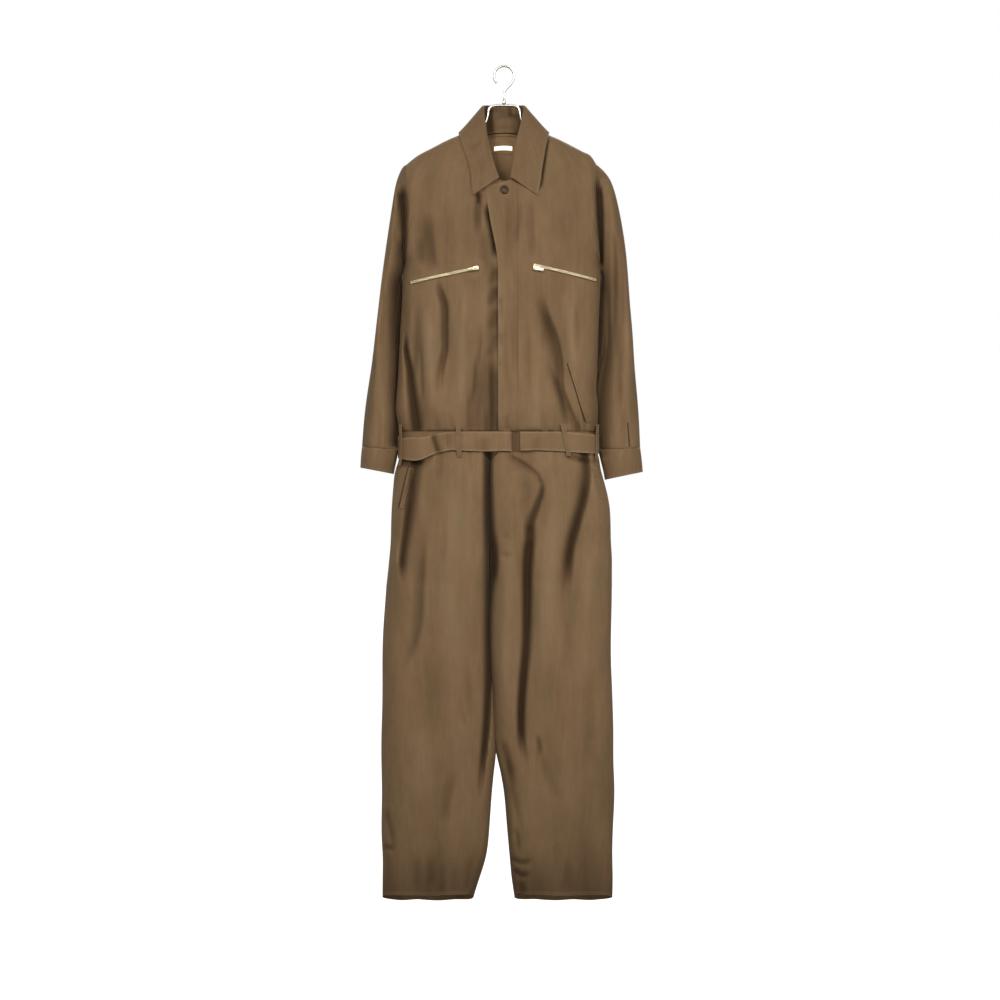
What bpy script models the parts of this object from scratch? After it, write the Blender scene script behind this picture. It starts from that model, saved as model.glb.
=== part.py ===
"""A boiler suit on a wire hanger, each cut piece of cloth a solid of its own.

Units are metres, +Z is up and -Y is the front. The origin is the inner top of the hanger's hook.
The tables hold millimetres: x runs from the left of the front view to its right, and drop is the
distance below the origin. "left" and "right" in names are those of the front view.
"""

import math

import bmesh
import bpy
from mathutils import Matrix, Vector
from mathutils.bvhtree import BVHTree

MM = 0.001

CLOTH = 1.8            # wall of one panel, in mm like all sizes below
TRIM = 1.3             # wall of a welt, loop, facing or label
SEAM = 0.3             # gap between two pieces at a seam
ON_TOP = 0.4           # gap under what lies on a panel

WAIST_SEAM = 693.0     # drop of the seam between bodice and waistband
TROUSER_SEAM = 731.0   # drop of the seam between waistband and trousers
CROTCH = 993.0
HEM_TILT = 0.26        # the hem is lower behind, by this much for each mm of depth
UNDERARM = 385.0
SHOULDER_TIP = 186.0
NECK_REACH = 68.0      # x of the neck point, where shoulder seam and neckline meet
ARM_ROWS = 8           # grid rows of a bodice panel beside the armhole
LOW_ROWS = 8           # grid rows from the underarm to the waist seam
NECK_COLUMNS = 6
SHOULDER_COLUMNS = 10
FOLD_COLUMNS = 13      # grid columns of a trouser panel
SHOULDER_FALL = 80.0   # height over which the cloth rounds off below the shoulder seam
ARMHOLE_HALF = 56.0    # half the armhole's depth, front to back
UNDERLAP_EDGE = 14.0   # x of the front edge that lies under the placket
PLACKET_SEAM = 24.0    # x of the seam between placket and right front


class Table:
    """Rows of sizes under named columns; each column reads as a smooth curve over the first."""

    def __init__(self, columns, *rows):
        names = columns.split()
        self.keys = [row[0] for row in rows]
        self.columns = {name: [row[k] for row in rows] for k, name in enumerate(names)}
        self.slopes = {name: self.slope_list(values) for name, values in self.columns.items()}

    def slope_list(self, values):
        """The curve's slope at each row, chosen so that it never overshoots."""
        spans = zip(self.keys, self.keys[1:], values, values[1:])
        steps = [(high - low) / (right - left) for left, right, low, high in spans]
        inner = [0.0 if a * b <= 0.0 else 2.0 * a * b / (a + b) for a, b in zip(steps, steps[1:])]
        return [steps[0]] + inner + [steps[-1]]

    def read(self, column, at):
        """The column's value at a key, held beyond the first and last rows."""
        keys = self.keys
        values = self.columns[column]
        if at <= keys[0]:
            return values[0]
        if at >= keys[-1]:
            return values[-1]
        k = max(n for n, key in enumerate(keys) if key <= at)
        span = keys[k + 1] - keys[k]
        s = (at - keys[k]) / span
        slope = self.slopes[column]
        start = values[k] * (2 * s ** 3 - 3 * s ** 2 + 1) + slope[k] * span * (s ** 3 - 2 * s ** 2 + s)
        end = values[k + 1] * (3 * s ** 2 - 2 * s ** 3) + slope[k + 1] * span * (s ** 3 - s ** 2)
        return start + end


# The bodice's sections: its sides, and how far the front and the back stand from the shoulders.
BODICE = Table(
    "drop left right front back",
    (186, -186, 176, 60, 60),
    (245, -184, 173, 67, 65),
    (290, -184, 174, 71, 68),
    (332, -187, 178, 73, 70),
    (385, -191, 183, 75, 72),
    (430, -193, 182, 76, 72),
    (500, -197, 179, 77, 72),
    (568, -200, 177, 78, 71),
    (612, -203, 175, 79, 71),
    (655, -205, 173, 81, 71),
    (681, -204, 171, 81, 71),
    (693, -197, 171, 74, 67),
    (712, -195, 174, 72, 65),
    (731, -194, 177, 72, 66),
)
BODICE_SQUARE = 3.2

SHOULDER = Table(
    "reach drop",
    (0, 110), (30, 111), (60, 119), (87, 130), (106, 138), (135, 153), (165, 169), (186, 186),
)
FRONT_NECK = Table(
    "reach drop",
    (0, 221), (12, 217), (22, 206), (36, 187), (50, 163), (61, 140), (68, 123),
)
BACK_NECK = Table("reach drop", (0, 128), (35, 127), (55, 125), (68, 123))

# The free edge of the placket, and the drop of its top at each x.
PLACKET = Table(
    "drop edge",
    (222, -37), (240, -36), (252, -33), (300, -25), (330, -19), (370, -12), (400, -11), (693, -11),
)
PLACKET_CORNER = -37.0  # x of the placket's free top corner
PLACKET_TOP = Table("x drop", (PLACKET_CORNER, 231), (0, 224), (12, 219), (PLACKET_SEAM, 206))

# Outer edges, inner edges and depths of the trousers. Above the crotch the inner edges meet at
# the centre seams, whose depths are the last two columns.
TROUSERS = Table(
    "drop left left_in right_in right front back front_seam back_seam",
    (731, -194, -27, -27, 177, 72, 66, 71, 65),
    (746, -199, -27, -27, 181, 74, 69, 52, 68),
    (770, -207, -27, -27, 185, 76, 74, 42, 72),
    (786, -209, -28, -28, 189, 77, 77, 39, 75),
    (807, -211, -28, -28, 196, 78, 79, 36, 77),
    (853, -214, -28, -28, 202, 79, 84, 31, 78),
    (898, -215, -28, -28, 203, 78, 86, 26, 70),
    (935, -218, -28, -28, 205, 77, 85, 20, 57),
    (965, -221, -28, -28, 205, 75, 84, 12, 37),
    (982, -223, -28, -28, 205, 74, 83, 6, 19),
    (993, -224, -28, -28, 205, 74, 82, 0, 0),
    (1050, -228, -26.8, -26.2, 204, 72, 79, 0, 0),
    (1104, -231, -24.8, -24.2, 203, 71, 76, 0, 0),
    (1195, -231, -20.8, -20.2, 206, 69, 72, 0, 0),
    (1270, -233, -17.3, -16.7, 208, 66, 69, 0, 0),
    (1320, -233, -18, -10, 208, 64, 66, 0, 0),
    (1377, -232, -23, 0, 210, 60, 62, 0, 0),
    (1446, -233, -28, 6, 207, 54, 56, 0, 0),
    (1490, -231, -32, 10, 206, 50, 52, 0, 0),
    (1525, -230, -43, 13, 206, 46, 48, 0, 0),
    (1560, -232, -51, 17, 208, 42, 44, 0, 0),
    (1576, -231, -58, 20, 206, 39, 41, 0, 0),
)
TROUSER_SQUARE_OUT = 2.8
TROUSER_BLEND = 775.0  # above this drop the trousers take on the waistband's section
TROUSER_SQUARE_IN = {-1: 4.0, 1: 2.8}
TROUSER_DROPS = (
    731, 746, 766, 794, 828, 864, 900, 930, 955, 973, 985, 993,
    1024, 1072, 1122, 1170, 1220, 1270, 1320, 1368, 1414, 1458, 1500, 1540, 1576,
)

# Folds: between two drops, from one x to another, their half width and depth (minus is a ridge).
FOLD = "top bottom x_top x_bottom width depth"


def fold_list(*rows):
    """The folds of one panel as dictionaries under the columns of FOLD."""
    return [dict(zip(FOLD.split(), row)) for row in rows]


BODICE_FRONT_FOLDS = fold_list(
    (395, 650, -112, -116, 12, 5.5),
    (440, 640, -84, -88, 16, -3.0),
    (470, 700, -186, -160, 12, 12.0),
    (560, 700, -138, -136, 12, -4.0),
    (240, 345, -49, -44, 9, 3.0),
    (530, 700, -36, -40, 18, 5.5),
    (252, 360, 66, 53, 9, 3.0),
    (240, 410, 9, 12, 9, 2.5),
    (392, 570, 94, 104, 12, 5.5),
    (535, 700, 103, 130, 11, 7.0),
    (425, 510, 148, 149, 9, 3.5),
    (430, 640, 60, 68, 16, -3.0),
    (580, 700, 150, 156, 9, 4.0),
)
BODICE_BACK_FOLDS = fold_list(
    (300, 700, -122, -130, 16, 7.0),
    (260, 560, -46, -40, 20, 4.0),
    (560, 700, -82, -86, 11, 6.0),
    (280, 600, 54, 48, 20, 4.5),
    (320, 700, 116, 126, 16, 7.0),
    (575, 700, 78, 82, 11, 6.0),
    (590, 700, -8, -4, 12, 4.5),
)
TROUSER_FRONT_FOLDS = fold_list(
    (800, 985, -186, -184, 10, 7.0),
    (860, 1010, -152, -150, 11, 4.0),
    (1000, 1160, -158, -198, 12, 6.0),
    (1225, 1390, -46, -42, 9, 5.0),
    (1335, 1440, -108, -106, 11, 4.0),
    (750, 1180, -92, -96, 22, -4.0),
    (733, 830, 14, 74, 11, 6.0),
    (785, 900, 72, 46, 11, 8.0),
    (850, 1340, 44, 36, 12, 12.0),
    (733, 860, 154, 146, 11, 7.0),
    (820, 1090, 146, 118, 12, 8.0),
    (1260, 1390, 62, 112, 11, 5.0),
    (900, 1300, 88, 92, 20, -4.0),
)
TROUSER_BACK_FOLDS = fold_list(
    (733, 1000, -150, -142, 13, 7.0),
    (900, 1200, -70, -84, 14, 6.0),
    (1240, 1420, -150, -120, 14, 5.0),
    (800, 1100, -108, -112, 20, -4.0),
    (733, 990, 126, 118, 13, 7.0),
    (890, 1220, 40, 60, 14, 6.0),
    (1220, 1400, 130, 96, 14, 5.0),
    (820, 1120, 88, 92, 20, -4.0),
)

# Rings of the sleeves, from armhole to cuff seam. Each passes through an outer and an inner point
# and is as deep as front and back say, about a middle that is set back; slant turns it.
RING = "ring outer_x outer_drop inner_x inner_drop front back set_back slant"
LEFT_SLEEVE = Table(
    RING,
    (1, -192, 190, -195, 389, 48, 58, 3, 0.00),
    (2, -199, 203, -198, 394, 49, 62, 6, 0.02),
    (3, -205, 225, -199, 401, 58, 65, 8, 0.08),
    (4, -209, 262, -199, 413, 64, 66, 10, 0.14),
    (5, -214, 306, -199, 432, 65, 66, 11, 0.20),
    (6, -219, 350, -200, 457, 65, 65, 11, 0.24),
    (7, -225, 398, -201, 489, 64, 64, 11, 0.26),
    (8, -231, 450, -203, 524, 62, 62, 11, 0.26),
    (9, -238, 503, -204, 560, 60, 60, 10, 0.24),
    (10, -247, 560, -206, 600, 57, 57, 9, 0.20),
    (11, -257, 612, -207, 640, 53, 53, 8, 0.14),
    (12, -265, 664, -207, 680, 48, 48, 6, 0.07),
    (13, -270, 721, -206, 726, 42, 42, 5, 0.00),
)
RIGHT_SLEEVE = Table(
    RING,
    (1, 182, 190, 187, 389, 48, 58, 3, 0.00),
    (2, 192, 200, 190, 394, 49, 62, 6, -0.02),
    (3, 204, 220, 192, 401, 58, 65, 8, -0.08),
    (4, 213, 257, 191, 413, 64, 66, 12, -0.16),
    (5, 220, 304, 190, 432, 65, 66, 15, -0.24),
    (6, 225, 350, 188, 457, 65, 65, 17, -0.29),
    (7, 229, 400, 187, 489, 64, 64, 18, -0.31),
    (8, 233, 452, 184, 524, 62, 62, 18, -0.31),
    (9, 239, 505, 182, 560, 60, 60, 15, -0.27),
    (10, 245, 562, 181, 600, 57, 57, 11, -0.20),
    (11, 251, 614, 180, 640, 53, 53, 8, -0.14),
    (12, 256, 666, 182, 680, 48, 48, 6, -0.07),
    (13, 259, 723, 185, 726, 42, 42, 5, 0.00),
)
LEFT_CUFF = Table(
    RING,
    (0, -270, 721, -206, 726, 41, 41, 5, 0.0),
    (1, -272, 741, -208, 750, 41, 41, 5, 0.0),
    (2, -273, 761, -210, 773, 40, 40, 5, 0.0),
)
RIGHT_CUFF = Table(
    RING,
    (0, 259, 723, 185, 726, 41, 41, 5, 0.0),
    (1, 262, 746, 188, 755, 41, 41, 5, 0.0),
    (2, 264, 769, 192, 784, 40, 40, 5, 0.0),
)
# Folds along a sleeve: its clock angle from the outer edge towards the front, in degrees.
SLEEVE_FOLDS = [
    dict(zip("first last angle width depth".split(), row))
    for row in (
        (3.0, 9.0, 55, 22, 5.0),
        (5.0, 12.5, 105, 20, 4.5),
        (3.5, 10.0, 215, 24, 5.5),
        (6.0, 12.5, 285, 22, 5.0),
    )
]

# The collar from its front end to the back of the neck: seam, roll and outer edge.
COLLAR_COLUMNS = "station seam_x roll_x roll_drop roll_y edge_x edge_drop edge_y"
COLLAR_LEFT = Table(
    COLLAR_COLUMNS,
    (0, -13, -9, 215, -73, -59, 249, -60),
    (1, -22, -14, 203, -73, -61, 232, -60),
    (2, -36, -20, 184, -71, -63, 211, -60),
    (3, -50, -26, 162, -66, -67, 188, -55),
    (4, -60, -31, 138, -54, -74, 167, -48),
    (5, -67, -35, 112, -32, -81, 147, -36),
    (5.7, -67.5, -37, 97, -17, -85, 134, -18),
    (6.2, -66, -38, 89, -6, -86.5, 126, -5),
    (6.7, -60, -39, 83, 5, -86, 126, 8),
    (7.3, -50, -38, 79, 18, -79, 132, 22),
    (8.1, -32, -27, 77, 37, -54, 138, 40),
    (9, 0, 0, 76, 47, 0, 142, 55),
)
COLLAR_RIGHT = Table(
    COLLAR_COLUMNS,
    (0, 13, 11, 214, -73, 63, 248, -60),
    (1, 22, 14, 202, -73, 67, 231, -60),
    (2, 36, 17, 184, -71, 70, 211, -60),
    (3, 50, 20, 162, -66, 73, 189, -55),
    (4, 60, 25, 138, -54, 77, 166, -48),
    (5, 67, 32, 112, -32, 81, 146, -36),
    (5.7, 67.5, 35, 97, -17, 84.5, 133, -18),
    (6.2, 66, 37, 89, -6, 86, 125.5, -5),
    (6.7, 60, 38, 83, 5, 85.5, 125.5, 8),
    (7.3, 50, 37, 79, 18, 78, 131, 22),
    (8.1, 32, 27, 77, 37, 54, 138, 40),
    (9, 0, 0, 76, 47, 0, 142, 55),
)
COLLAR_SIDES = 12      # stations on each half of the collar
ROLL_RADIUS = 3.2

BELT_DROP = 712.0      # drop of the belt's middle line
BELT_OUT = 6.5         # from the waistband to the belt's middle surface
BELT_HEIGHT = 36.0
BELT_WALL = 2.2
BELT_LEFT_END = 15.0
BELT_RIGHT_END = 30.0
BELT_STEPS = 58
WAIST_STEPS = 240      # even steps that the round of the waist is measured in
# How far the belt's middle hangs below the waistband's, by x along the front.
BELT_SAG = Table("x sag", (-200, 14), (-165, 15), (-125, 4), (-100, 0), (100, 0), (172, 5))

# Loops: x at the top and bottom, drop of the bottom, how far the foot stands from the waistband's
# section, and whether the loop sits in front (-1) or behind (1).
LOOPS = {
    "loop_front_left": (-87, -85, 742, 4.6, -1),
    "loop_front_right": (108, 120, 740, 4.6, -1),
    "loop_side_left": (-187, -187, 758, 15.0, -1),
    "loop_side_right": (167, 167, 746, 8.4, -1),
    "loop_back_left": (-92, -92, 744, 5.4, 1),
    "loop_back_right": (80, 80, 744, 5.4, 1),
}
LOOP_WIDTH = 9.0
LOOP_OVER = 9.0        # from the waistband to the loop where it passes over the belt
LOOP_BOW = ((0.0, 11.0), (0.2, 10.6), (0.35, 9.2), (0.75, LOOP_OVER))
LOOP_TOP = 680.0

WELT_WIDTH = 8.0
ZIPS = {"left": ((-49, 383), (-176, 410)), "right": ((55, 383), (172, 410))}
CHAIN_WIDTH = 5.6
CHAIN_WALL = 1.6
CHAIN_CLEAR = 1.0
SLIDER_LENGTH = 9.0
SLIDER_WIDTH = 7.6
SLIDER_WALL = 3.0
SLIDER_CLEAR = 0.6     # gap between the teeth and the slider
SLIDER_SPAN = 24.0     # length of the chest that the slider and its pull lie along
POST_WIDTH = 1.0       # each foot of the bail, along the zip
POST_SINK = 0.6        # depth to which the feet go into the slider
BAIL_WIDTH = 1.8
BAIL_WALL = 0.9
BAIL_OPENING = 3.4     # along the zip, between the bail's two feet
BAIL_CLEAR = 2.4       # height under the bail
PULL_WIRE = 1.2
PULL_INSIDE = 2.8      # width between the pull's two arms
PULL_ARMS = 5.2
PULL_LENGTH = 15.0
PULL_WIDTH = 5.0

BUTTON_X = 1.0
BUTTON_DROP = 238.0
BUTTON_RADIUS = 8.0
BUTTON_WALL = 3.0
BUTTON_SHANK = 0.6     # height of the sewing thread under the button

ROD_RADIUS = 3.0
HOOK_RADIUS = 2.0
HOOK_INSIDE = 17.0
FERRULE_RADIUS = 3.8

TWILL = ("linen_cotton_twill", (0.21, 0.135, 0.078, 1.0), 0.85, 0.0)
TWILL_TRIM = ("linen_cotton_trim", (0.19, 0.12, 0.07, 1.0), 0.85, 0.0)
LABEL_WOVEN = ("woven_label", (0.78, 0.72, 0.58, 1.0), 0.8, 0.0)
NICKEL = ("nickel_plated_steel", (0.72, 0.69, 0.62, 1.0), 0.25, 1.0)
ZIP_METAL = ("pale_brass", (0.78, 0.68, 0.48, 1.0), 0.3, 1.0)
HORN = ("dark_horn", (0.035, 0.02, 0.012, 1.0), 0.35, 0.0)


def clear_scene():
    """Remove what a new file starts with."""
    for item in list(bpy.data.objects):
        bpy.data.objects.remove(item, do_unlink=True)


def make_material(finish):
    """The Principled material of a finish, made once."""
    name, colour, roughness, metallic = finish
    material = bpy.data.materials.get(name)
    if material is None:
        material = bpy.data.materials.new(name)
        material.use_nodes = True
        shader = material.node_tree.nodes["Principled BSDF"]
        shader.inputs["Base Color"].default_value = colour
        shader.inputs["Roughness"].default_value = roughness
        shader.inputs["Metallic"].default_value = metallic
        material.diffuse_color = colour
    return material


def smooth(value):
    """A soft step from 0 to 1."""
    s = min(max(value, 0.0), 1.0)
    return s * s * (3.0 - 2.0 * s)


def mix(a, b, share):
    """The value that lies a share of the way from a to b."""
    return a + (b - a) * share


def place(x, y, drop):
    """A point of the model, in metres, from millimetres and a drop."""
    return Vector((x * MM, y * MM, -drop * MM))


def round_off(t, square):
    """Height of a rounded section of unit depth at t, which is 1 at its side."""
    return (1.0 - min(abs(t), 1.0) ** square) ** (1.0 / square)


def fold_depth(folds, x, drop):
    """How deep the folds press the cloth in at a place."""
    total = 0.0
    for fold in folds:
        along = (drop - fold["top"]) / (fold["bottom"] - fold["top"])
        if 0.0 < along < 1.0:
            middle = mix(fold["x_top"], fold["x_bottom"], along)
            ends = smooth(along / 0.28) * smooth((1.0 - along) / 0.2)
            total += fold["depth"] * ends * math.exp(-((x - middle) / fold["width"]) ** 2)
    return total


def add_object(name, mesh, finish):
    """Turn a bmesh in metres into a named, smooth shaded object with its material."""
    bmesh.ops.recalc_face_normals(mesh, faces=mesh.faces)
    data = bpy.data.meshes.new(name)
    mesh.to_mesh(data)
    mesh.free()
    data.shade_smooth()
    data.set_sharp_from_angle(angle=math.radians(40))
    data.materials.append(make_material(finish))
    item = bpy.data.objects.new(name, data)
    bpy.context.collection.objects.link(item)
    return item


def grid_normals(grid, closed, sense):
    """The unit normal at each point of a grid, from the directions between its neighbours."""
    rows = len(grid)
    columns = len(grid[0])
    result = []
    for i in range(rows):
        line = []
        for j in range(columns):
            before = (j - 1) % columns if closed else max(j - 1, 0)
            after = (j + 1) % columns if closed else min(j + 1, columns - 1)
            across = grid[i][after] - grid[i][before]
            along = grid[min(i + 1, rows - 1)][j] - grid[max(i - 1, 0)][j]
            line.append(across.cross(along).normalized() * sense)
        result.append(line)
    return result


def without(vector, axis):
    """A unit vector with its part along an axis taken out."""
    left = vector - axis * vector.dot(axis)
    return left.normalized() if left.length > 1e-6 else vector


def shell(grid, normals, thickness, closed):
    """A bmesh of a wall whose outer face is the grid and whose inner face lies behind it."""
    rows = len(grid)
    columns = len(grid[0])
    mesh = bmesh.new()
    outer = [[mesh.verts.new(point) for point in line] for line in grid]
    inner = [
        [mesh.verts.new(grid[i][j] - normals[i][j] * thickness * MM) for j in range(columns)]
        for i in range(rows)
    ]
    last = columns if closed else columns - 1
    for i in range(rows - 1):
        for j in range(last):
            k = (j + 1) % columns
            for face in (outer, inner):
                mesh.faces.new((face[i][j], face[i + 1][j], face[i + 1][k]))
                mesh.faces.new((face[i][j], face[i + 1][k], face[i][k]))
    for i in (0, rows - 1):
        for j in range(last):
            k = (j + 1) % columns
            mesh.faces.new((outer[i][j], outer[i][k], inner[i][k], inner[i][j]))
    if not closed:
        for j in (0, columns - 1):
            for i in range(rows - 1):
                mesh.faces.new((outer[i][j], outer[i + 1][j], inner[i + 1][j], inner[i][j]))
    return mesh


def wall(name, grid, finish, sense=1, thickness=CLOTH, closed=False, hold=None, leans=None):
    """Cloth as a closed solid. hold names edges of the grid and the axis their walls stay square
    to; leans gives the outward direction of single points."""
    normals = grid_normals(grid, closed, sense)
    ends = {"first_row": 0, "last_row": len(grid) - 1, "first_column": 0, "last_column": len(grid[0]) - 1}
    for edge, axis in (hold or {}).items():
        for i, line in enumerate(normals):
            for j in range(len(line)):
                if (i if edge.endswith("row") else j) == ends[edge]:
                    line[j] = without(line[j], axis)
    for (i, j), direction in (leans or {}).items():
        normals[i][j] = direction
    return add_object(name, shell(grid, normals, thickness, closed), finish)


AXIS_X = Vector((1.0, 0.0, 0.0))
AXIS_Y = Vector((0.0, 1.0, 0.0))
AXIS_Z = Vector((0.0, 0.0, 1.0))


# ---------------------------------------------------------------- bodice


def armhole_depth(drop):
    """Half the armhole's opening at a drop, zero above the tip and below the underarm."""
    middle = (SHOULDER_TIP + UNDERARM) / 2.0
    reach = (drop - middle) / (UNDERARM - middle)
    return ARMHOLE_HALF * math.sqrt(max(1.0 - reach * reach, 0.0))


def bodice_depth(x, drop, face):
    """How far the cloth stands from the shoulder plane, at the front (-1) or the back (1)."""
    left = BODICE.read("left", drop)
    right = BODICE.read("right", drop)
    side = abs(x - (left + right) / 2.0) / ((right - left) / 2.0)
    fall = min(max((drop - SHOULDER.read("drop", abs(x))) / SHOULDER_FALL, 0.0), 1.0)
    depth = BODICE.read("front" if face < 0 else "back", drop) * math.sqrt(1.0 - (1.0 - fall) ** 2)
    edge = min(armhole_depth(drop), depth)
    folds = BODICE_FRONT_FOLDS if face < 0 else BODICE_BACK_FOLDS
    fade = 1.0 - smooth((side - 0.82) / 0.16)
    depth -= fade * fold_depth(folds, x, drop) * smooth((WAIST_SEAM - drop) / 16.0)
    return max(edge + (depth - edge) * round_off(side, BODICE_SQUARE), SEAM / 2.0)


def cloth_steps(outline, count):
    """Keys at even steps of cloth along an outline, a list of (key, x, y)."""
    lengths = [0.0]
    for (_, x0, y0), (_, x1, y1) in zip(outline, outline[1:]):
        lengths.append(lengths[-1] + math.hypot(x1 - x0, y1 - y0))
    result = []
    for step in range(count + 1):
        target = lengths[-1] * step / count
        k = max(n for n in range(len(lengths) - 1) if lengths[n] <= target + 1e-9)
        share = (target - lengths[k]) / (lengths[k + 1] - lengths[k])
        result.append(mix(outline[k][0], outline[k + 1][0], share))
    return result


def bodice_steps(start, side, drop, face, count):
    """The x of each grid column at a drop, from a start to the side seam."""
    end = BODICE.read("left" if side < 0 else "right", drop)
    outline = []
    for k in range(61):
        x = mix(start, end, math.sin(math.pi / 2.0 * k / 60.0))
        outline.append((x, x, bodice_depth(x, drop, face)))
    return cloth_steps(outline, count)


def bodice_top(start, side, face, count):
    """The x and drop of each column at the top edge, along neckline and shoulder seam."""
    neck = side * NECK_REACH
    line = FRONT_NECK if face < 0 else BACK_NECK
    points = []
    for k in range(count + 1):
        if k <= NECK_COLUMNS:
            x = mix(start, neck, k / NECK_COLUMNS)
            points.append((x, line.read("drop", abs(x) if x * side > 0 else 0.0)))
        else:
            tip = BODICE.read("left" if side < 0 else "right", SHOULDER_TIP)
            x = mix(neck, tip, (k - NECK_COLUMNS) / (count - NECK_COLUMNS))
            reach = mix(NECK_REACH, SHOULDER_TIP, (k - NECK_COLUMNS) / (count - NECK_COLUMNS))
            points.append((x, SHOULDER.read("drop", abs(x)) if k < count else SHOULDER.read("drop", reach)))
    return points


def row_share(i, j, count):
    """How far down from the top edge to the underarm a row lies in a column. Rows crowd towards
    the rounded shoulder, and in the last column they step evenly round the armhole."""
    across = j / NECK_COLUMNS if j < NECK_COLUMNS else 1.0
    plain = (i / ARM_ROWS) ** mix(1.15, 1.8, across)
    last = max(j - NECK_COLUMNS, 0) / (count - NECK_COLUMNS)
    return mix(plain, (1.0 - math.cos(math.pi * i / ARM_ROWS)) / 2.0, last * last)


def bodice_grid(start, side, face, shift=None):
    """Points of half a bodice: columns from the start to the side, rows from top to waist."""
    count = NECK_COLUMNS + SHOULDER_COLUMNS
    top = bodice_top(start, side, face, count)
    under = bodice_steps(start, side, UNDERARM, face, count)
    tip = BODICE.read("left" if side < 0 else "right", SHOULDER_TIP)
    grid = []
    for i in range(ARM_ROWS + LOW_ROWS + 1):
        line = []
        if i > ARM_ROWS:
            drop = mix(UNDERARM, WAIST_SEAM - SEAM / 2.0, (i - ARM_ROWS) / LOW_ROWS)
            steps = bodice_steps(start, side, drop, face, count)
        for j in range(count + 1):
            if i > ARM_ROWS:
                x = steps[j]
            else:
                f = j / count
                share = row_share(i, j, count)
                drop = mix(top[j][1], UNDERARM, share)
                low = smooth(i / ARM_ROWS)
                x = mix(top[j][0], under[j], low)
                end = BODICE.read("left" if side < 0 else "right", drop)
                x += (end - mix(tip, under[-1], low)) * f * f
            y = bodice_depth(x, drop, face)
            if shift:
                y -= shift(x, drop)
            line.append(place(x, face * y, drop))
        grid.append(line)
    return grid


def armhole_lean(i, side, face):
    """The outward direction that panel and sleeve share at a row of the armhole."""
    angle = math.pi * i / ARM_ROWS
    away = smooth((angle - math.pi / 3.0) / (math.pi * 2.0 / 3.0))
    return Vector((side * away, face * math.sin(angle), math.cos(angle))).normalized()


def bodice_holds(grid, side, face):
    """Directions on the edges that a bodice half shares with its neighbours."""
    last = len(grid[0]) - 1
    leans = {(i, last): armhole_lean(i, side, face) for i in range(ARM_ROWS + 1)}
    for i in range(ARM_ROWS + 1, len(grid)):
        leans[(i, last)] = Vector((side, 0.0, 0.0))
    for j in range(NECK_COLUMNS, last):
        run = grid[0][j + 1] - grid[0][j - 1]
        leans[(0, j)] = Vector((-run.z, 0.0, run.x)).normalized() * (1.0 if run.x > 0 else -1.0)
    return leans


def underlap(x, drop):
    """How far the left front is set back where the placket covers it."""
    edge = PLACKET.read("edge", drop)
    return (CLOTH + ON_TOP + 1.0) * smooth((x - edge + 16.0) / 12.0)


def build_fronts():
    """The two fronts, the left one reaching under the placket."""
    for name, start, side, shift in (
        ("front_left", UNDERLAP_EDGE, -1, underlap),
        ("front_right", PLACKET_SEAM + SEAM, 1, None),
    ):
        grid = bodice_grid(start, side, -1, shift)
        hold = {"last_row": AXIS_Z, "first_column": AXIS_X}
        wall(name, grid, TWILL, sense=-side, hold=hold, leans=bodice_holds(grid, side, -1))


def build_back():
    """The back in one piece, from the left side to the right."""
    left = bodice_grid(0.0, -1, 1)
    right = bodice_grid(0.0, 1, 1)
    count = len(left[0]) - 1
    grid = [list(reversed(a)) + b[1:] for a, b in zip(left, right)]
    leans = {(i, count - j): lean for (i, j), lean in bodice_holds(left, -1, 1).items()}
    leans.update({(i, count + j): lean for (i, j), lean in bodice_holds(right, 1, 1).items()})
    wall("back", grid, TWILL, sense=1, hold={"last_row": AXIS_Z}, leans=leans)


def build_placket():
    """The band that laps over the left front, from its slanting top to the waist."""
    columns = 4
    rows = ARM_ROWS + LOW_ROWS
    grid = []
    for i in range(rows + 1):
        line = []
        for j in range(columns + 1):
            share = j / columns
            at_top = PLACKET_TOP.read("drop", mix(PLACKET_CORNER, PLACKET_SEAM, share))
            drop = mix(at_top, WAIST_SEAM - SEAM / 2.0, i / rows)
            x = mix(PLACKET.read("edge", drop), PLACKET_SEAM, share)
            line.append(place(x, -bodice_depth(x, drop, -1), drop))
        grid.append(line)
    hold = {"last_row": AXIS_Z, "last_column": AXIS_X}
    wall("placket", grid, TWILL, sense=-1, hold=hold)


# ---------------------------------------------------------------- inside the neck


def back_inside(x, drop, inward):
    """A point a given distance inside the back's outer face."""
    here = place(x, bodice_depth(x, drop, 1), drop)
    across = place(x + 1.0, bodice_depth(x + 1.0, drop, 1), drop) - here
    down = place(x, bodice_depth(x, drop + 1.0, 1), drop + 1.0) - here
    outward = down.cross(across).normalized()
    if outward.y < 0.0:
        outward.negate()
    return here - outward * inward * MM


def inside_patch(name, reach_left, reach_right, top, bottom, columns, rows, inward, finish, wall_size):
    """A flat patch of cloth on the inner face of the back."""
    grid = []
    for i in range(rows + 1):
        line = []
        for j in range(columns + 1):
            x = mix(reach_left, reach_right, j / columns)
            line.append(back_inside(x, mix(top(x), bottom(x), i / rows), inward))
        grid.append(line)
    wall(name, grid, finish, sense=1, thickness=wall_size)


def build_neck_inside():
    """The facing below the back neckline, and the blank label on it."""
    inside_patch(
        "neck_facing", -46.0, 46.0,
        lambda x: BACK_NECK.read("drop", abs(x)) + 3.0,
        lambda x: 163.0 - 12.0 * (abs(x) / 46.0) ** 3,
        8, 3, CLOTH + ON_TOP + 1.4, TWILL_TRIM, 1.0,
    )
    inside_patch(
        "label", -19.0, 16.0, lambda x: 148.0, lambda x: 156.0,
        4, 1, CLOTH + 2.0 * ON_TOP + 2.6, LABEL_WOVEN, 0.8,
    )


# ---------------------------------------------------------------- collar


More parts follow.
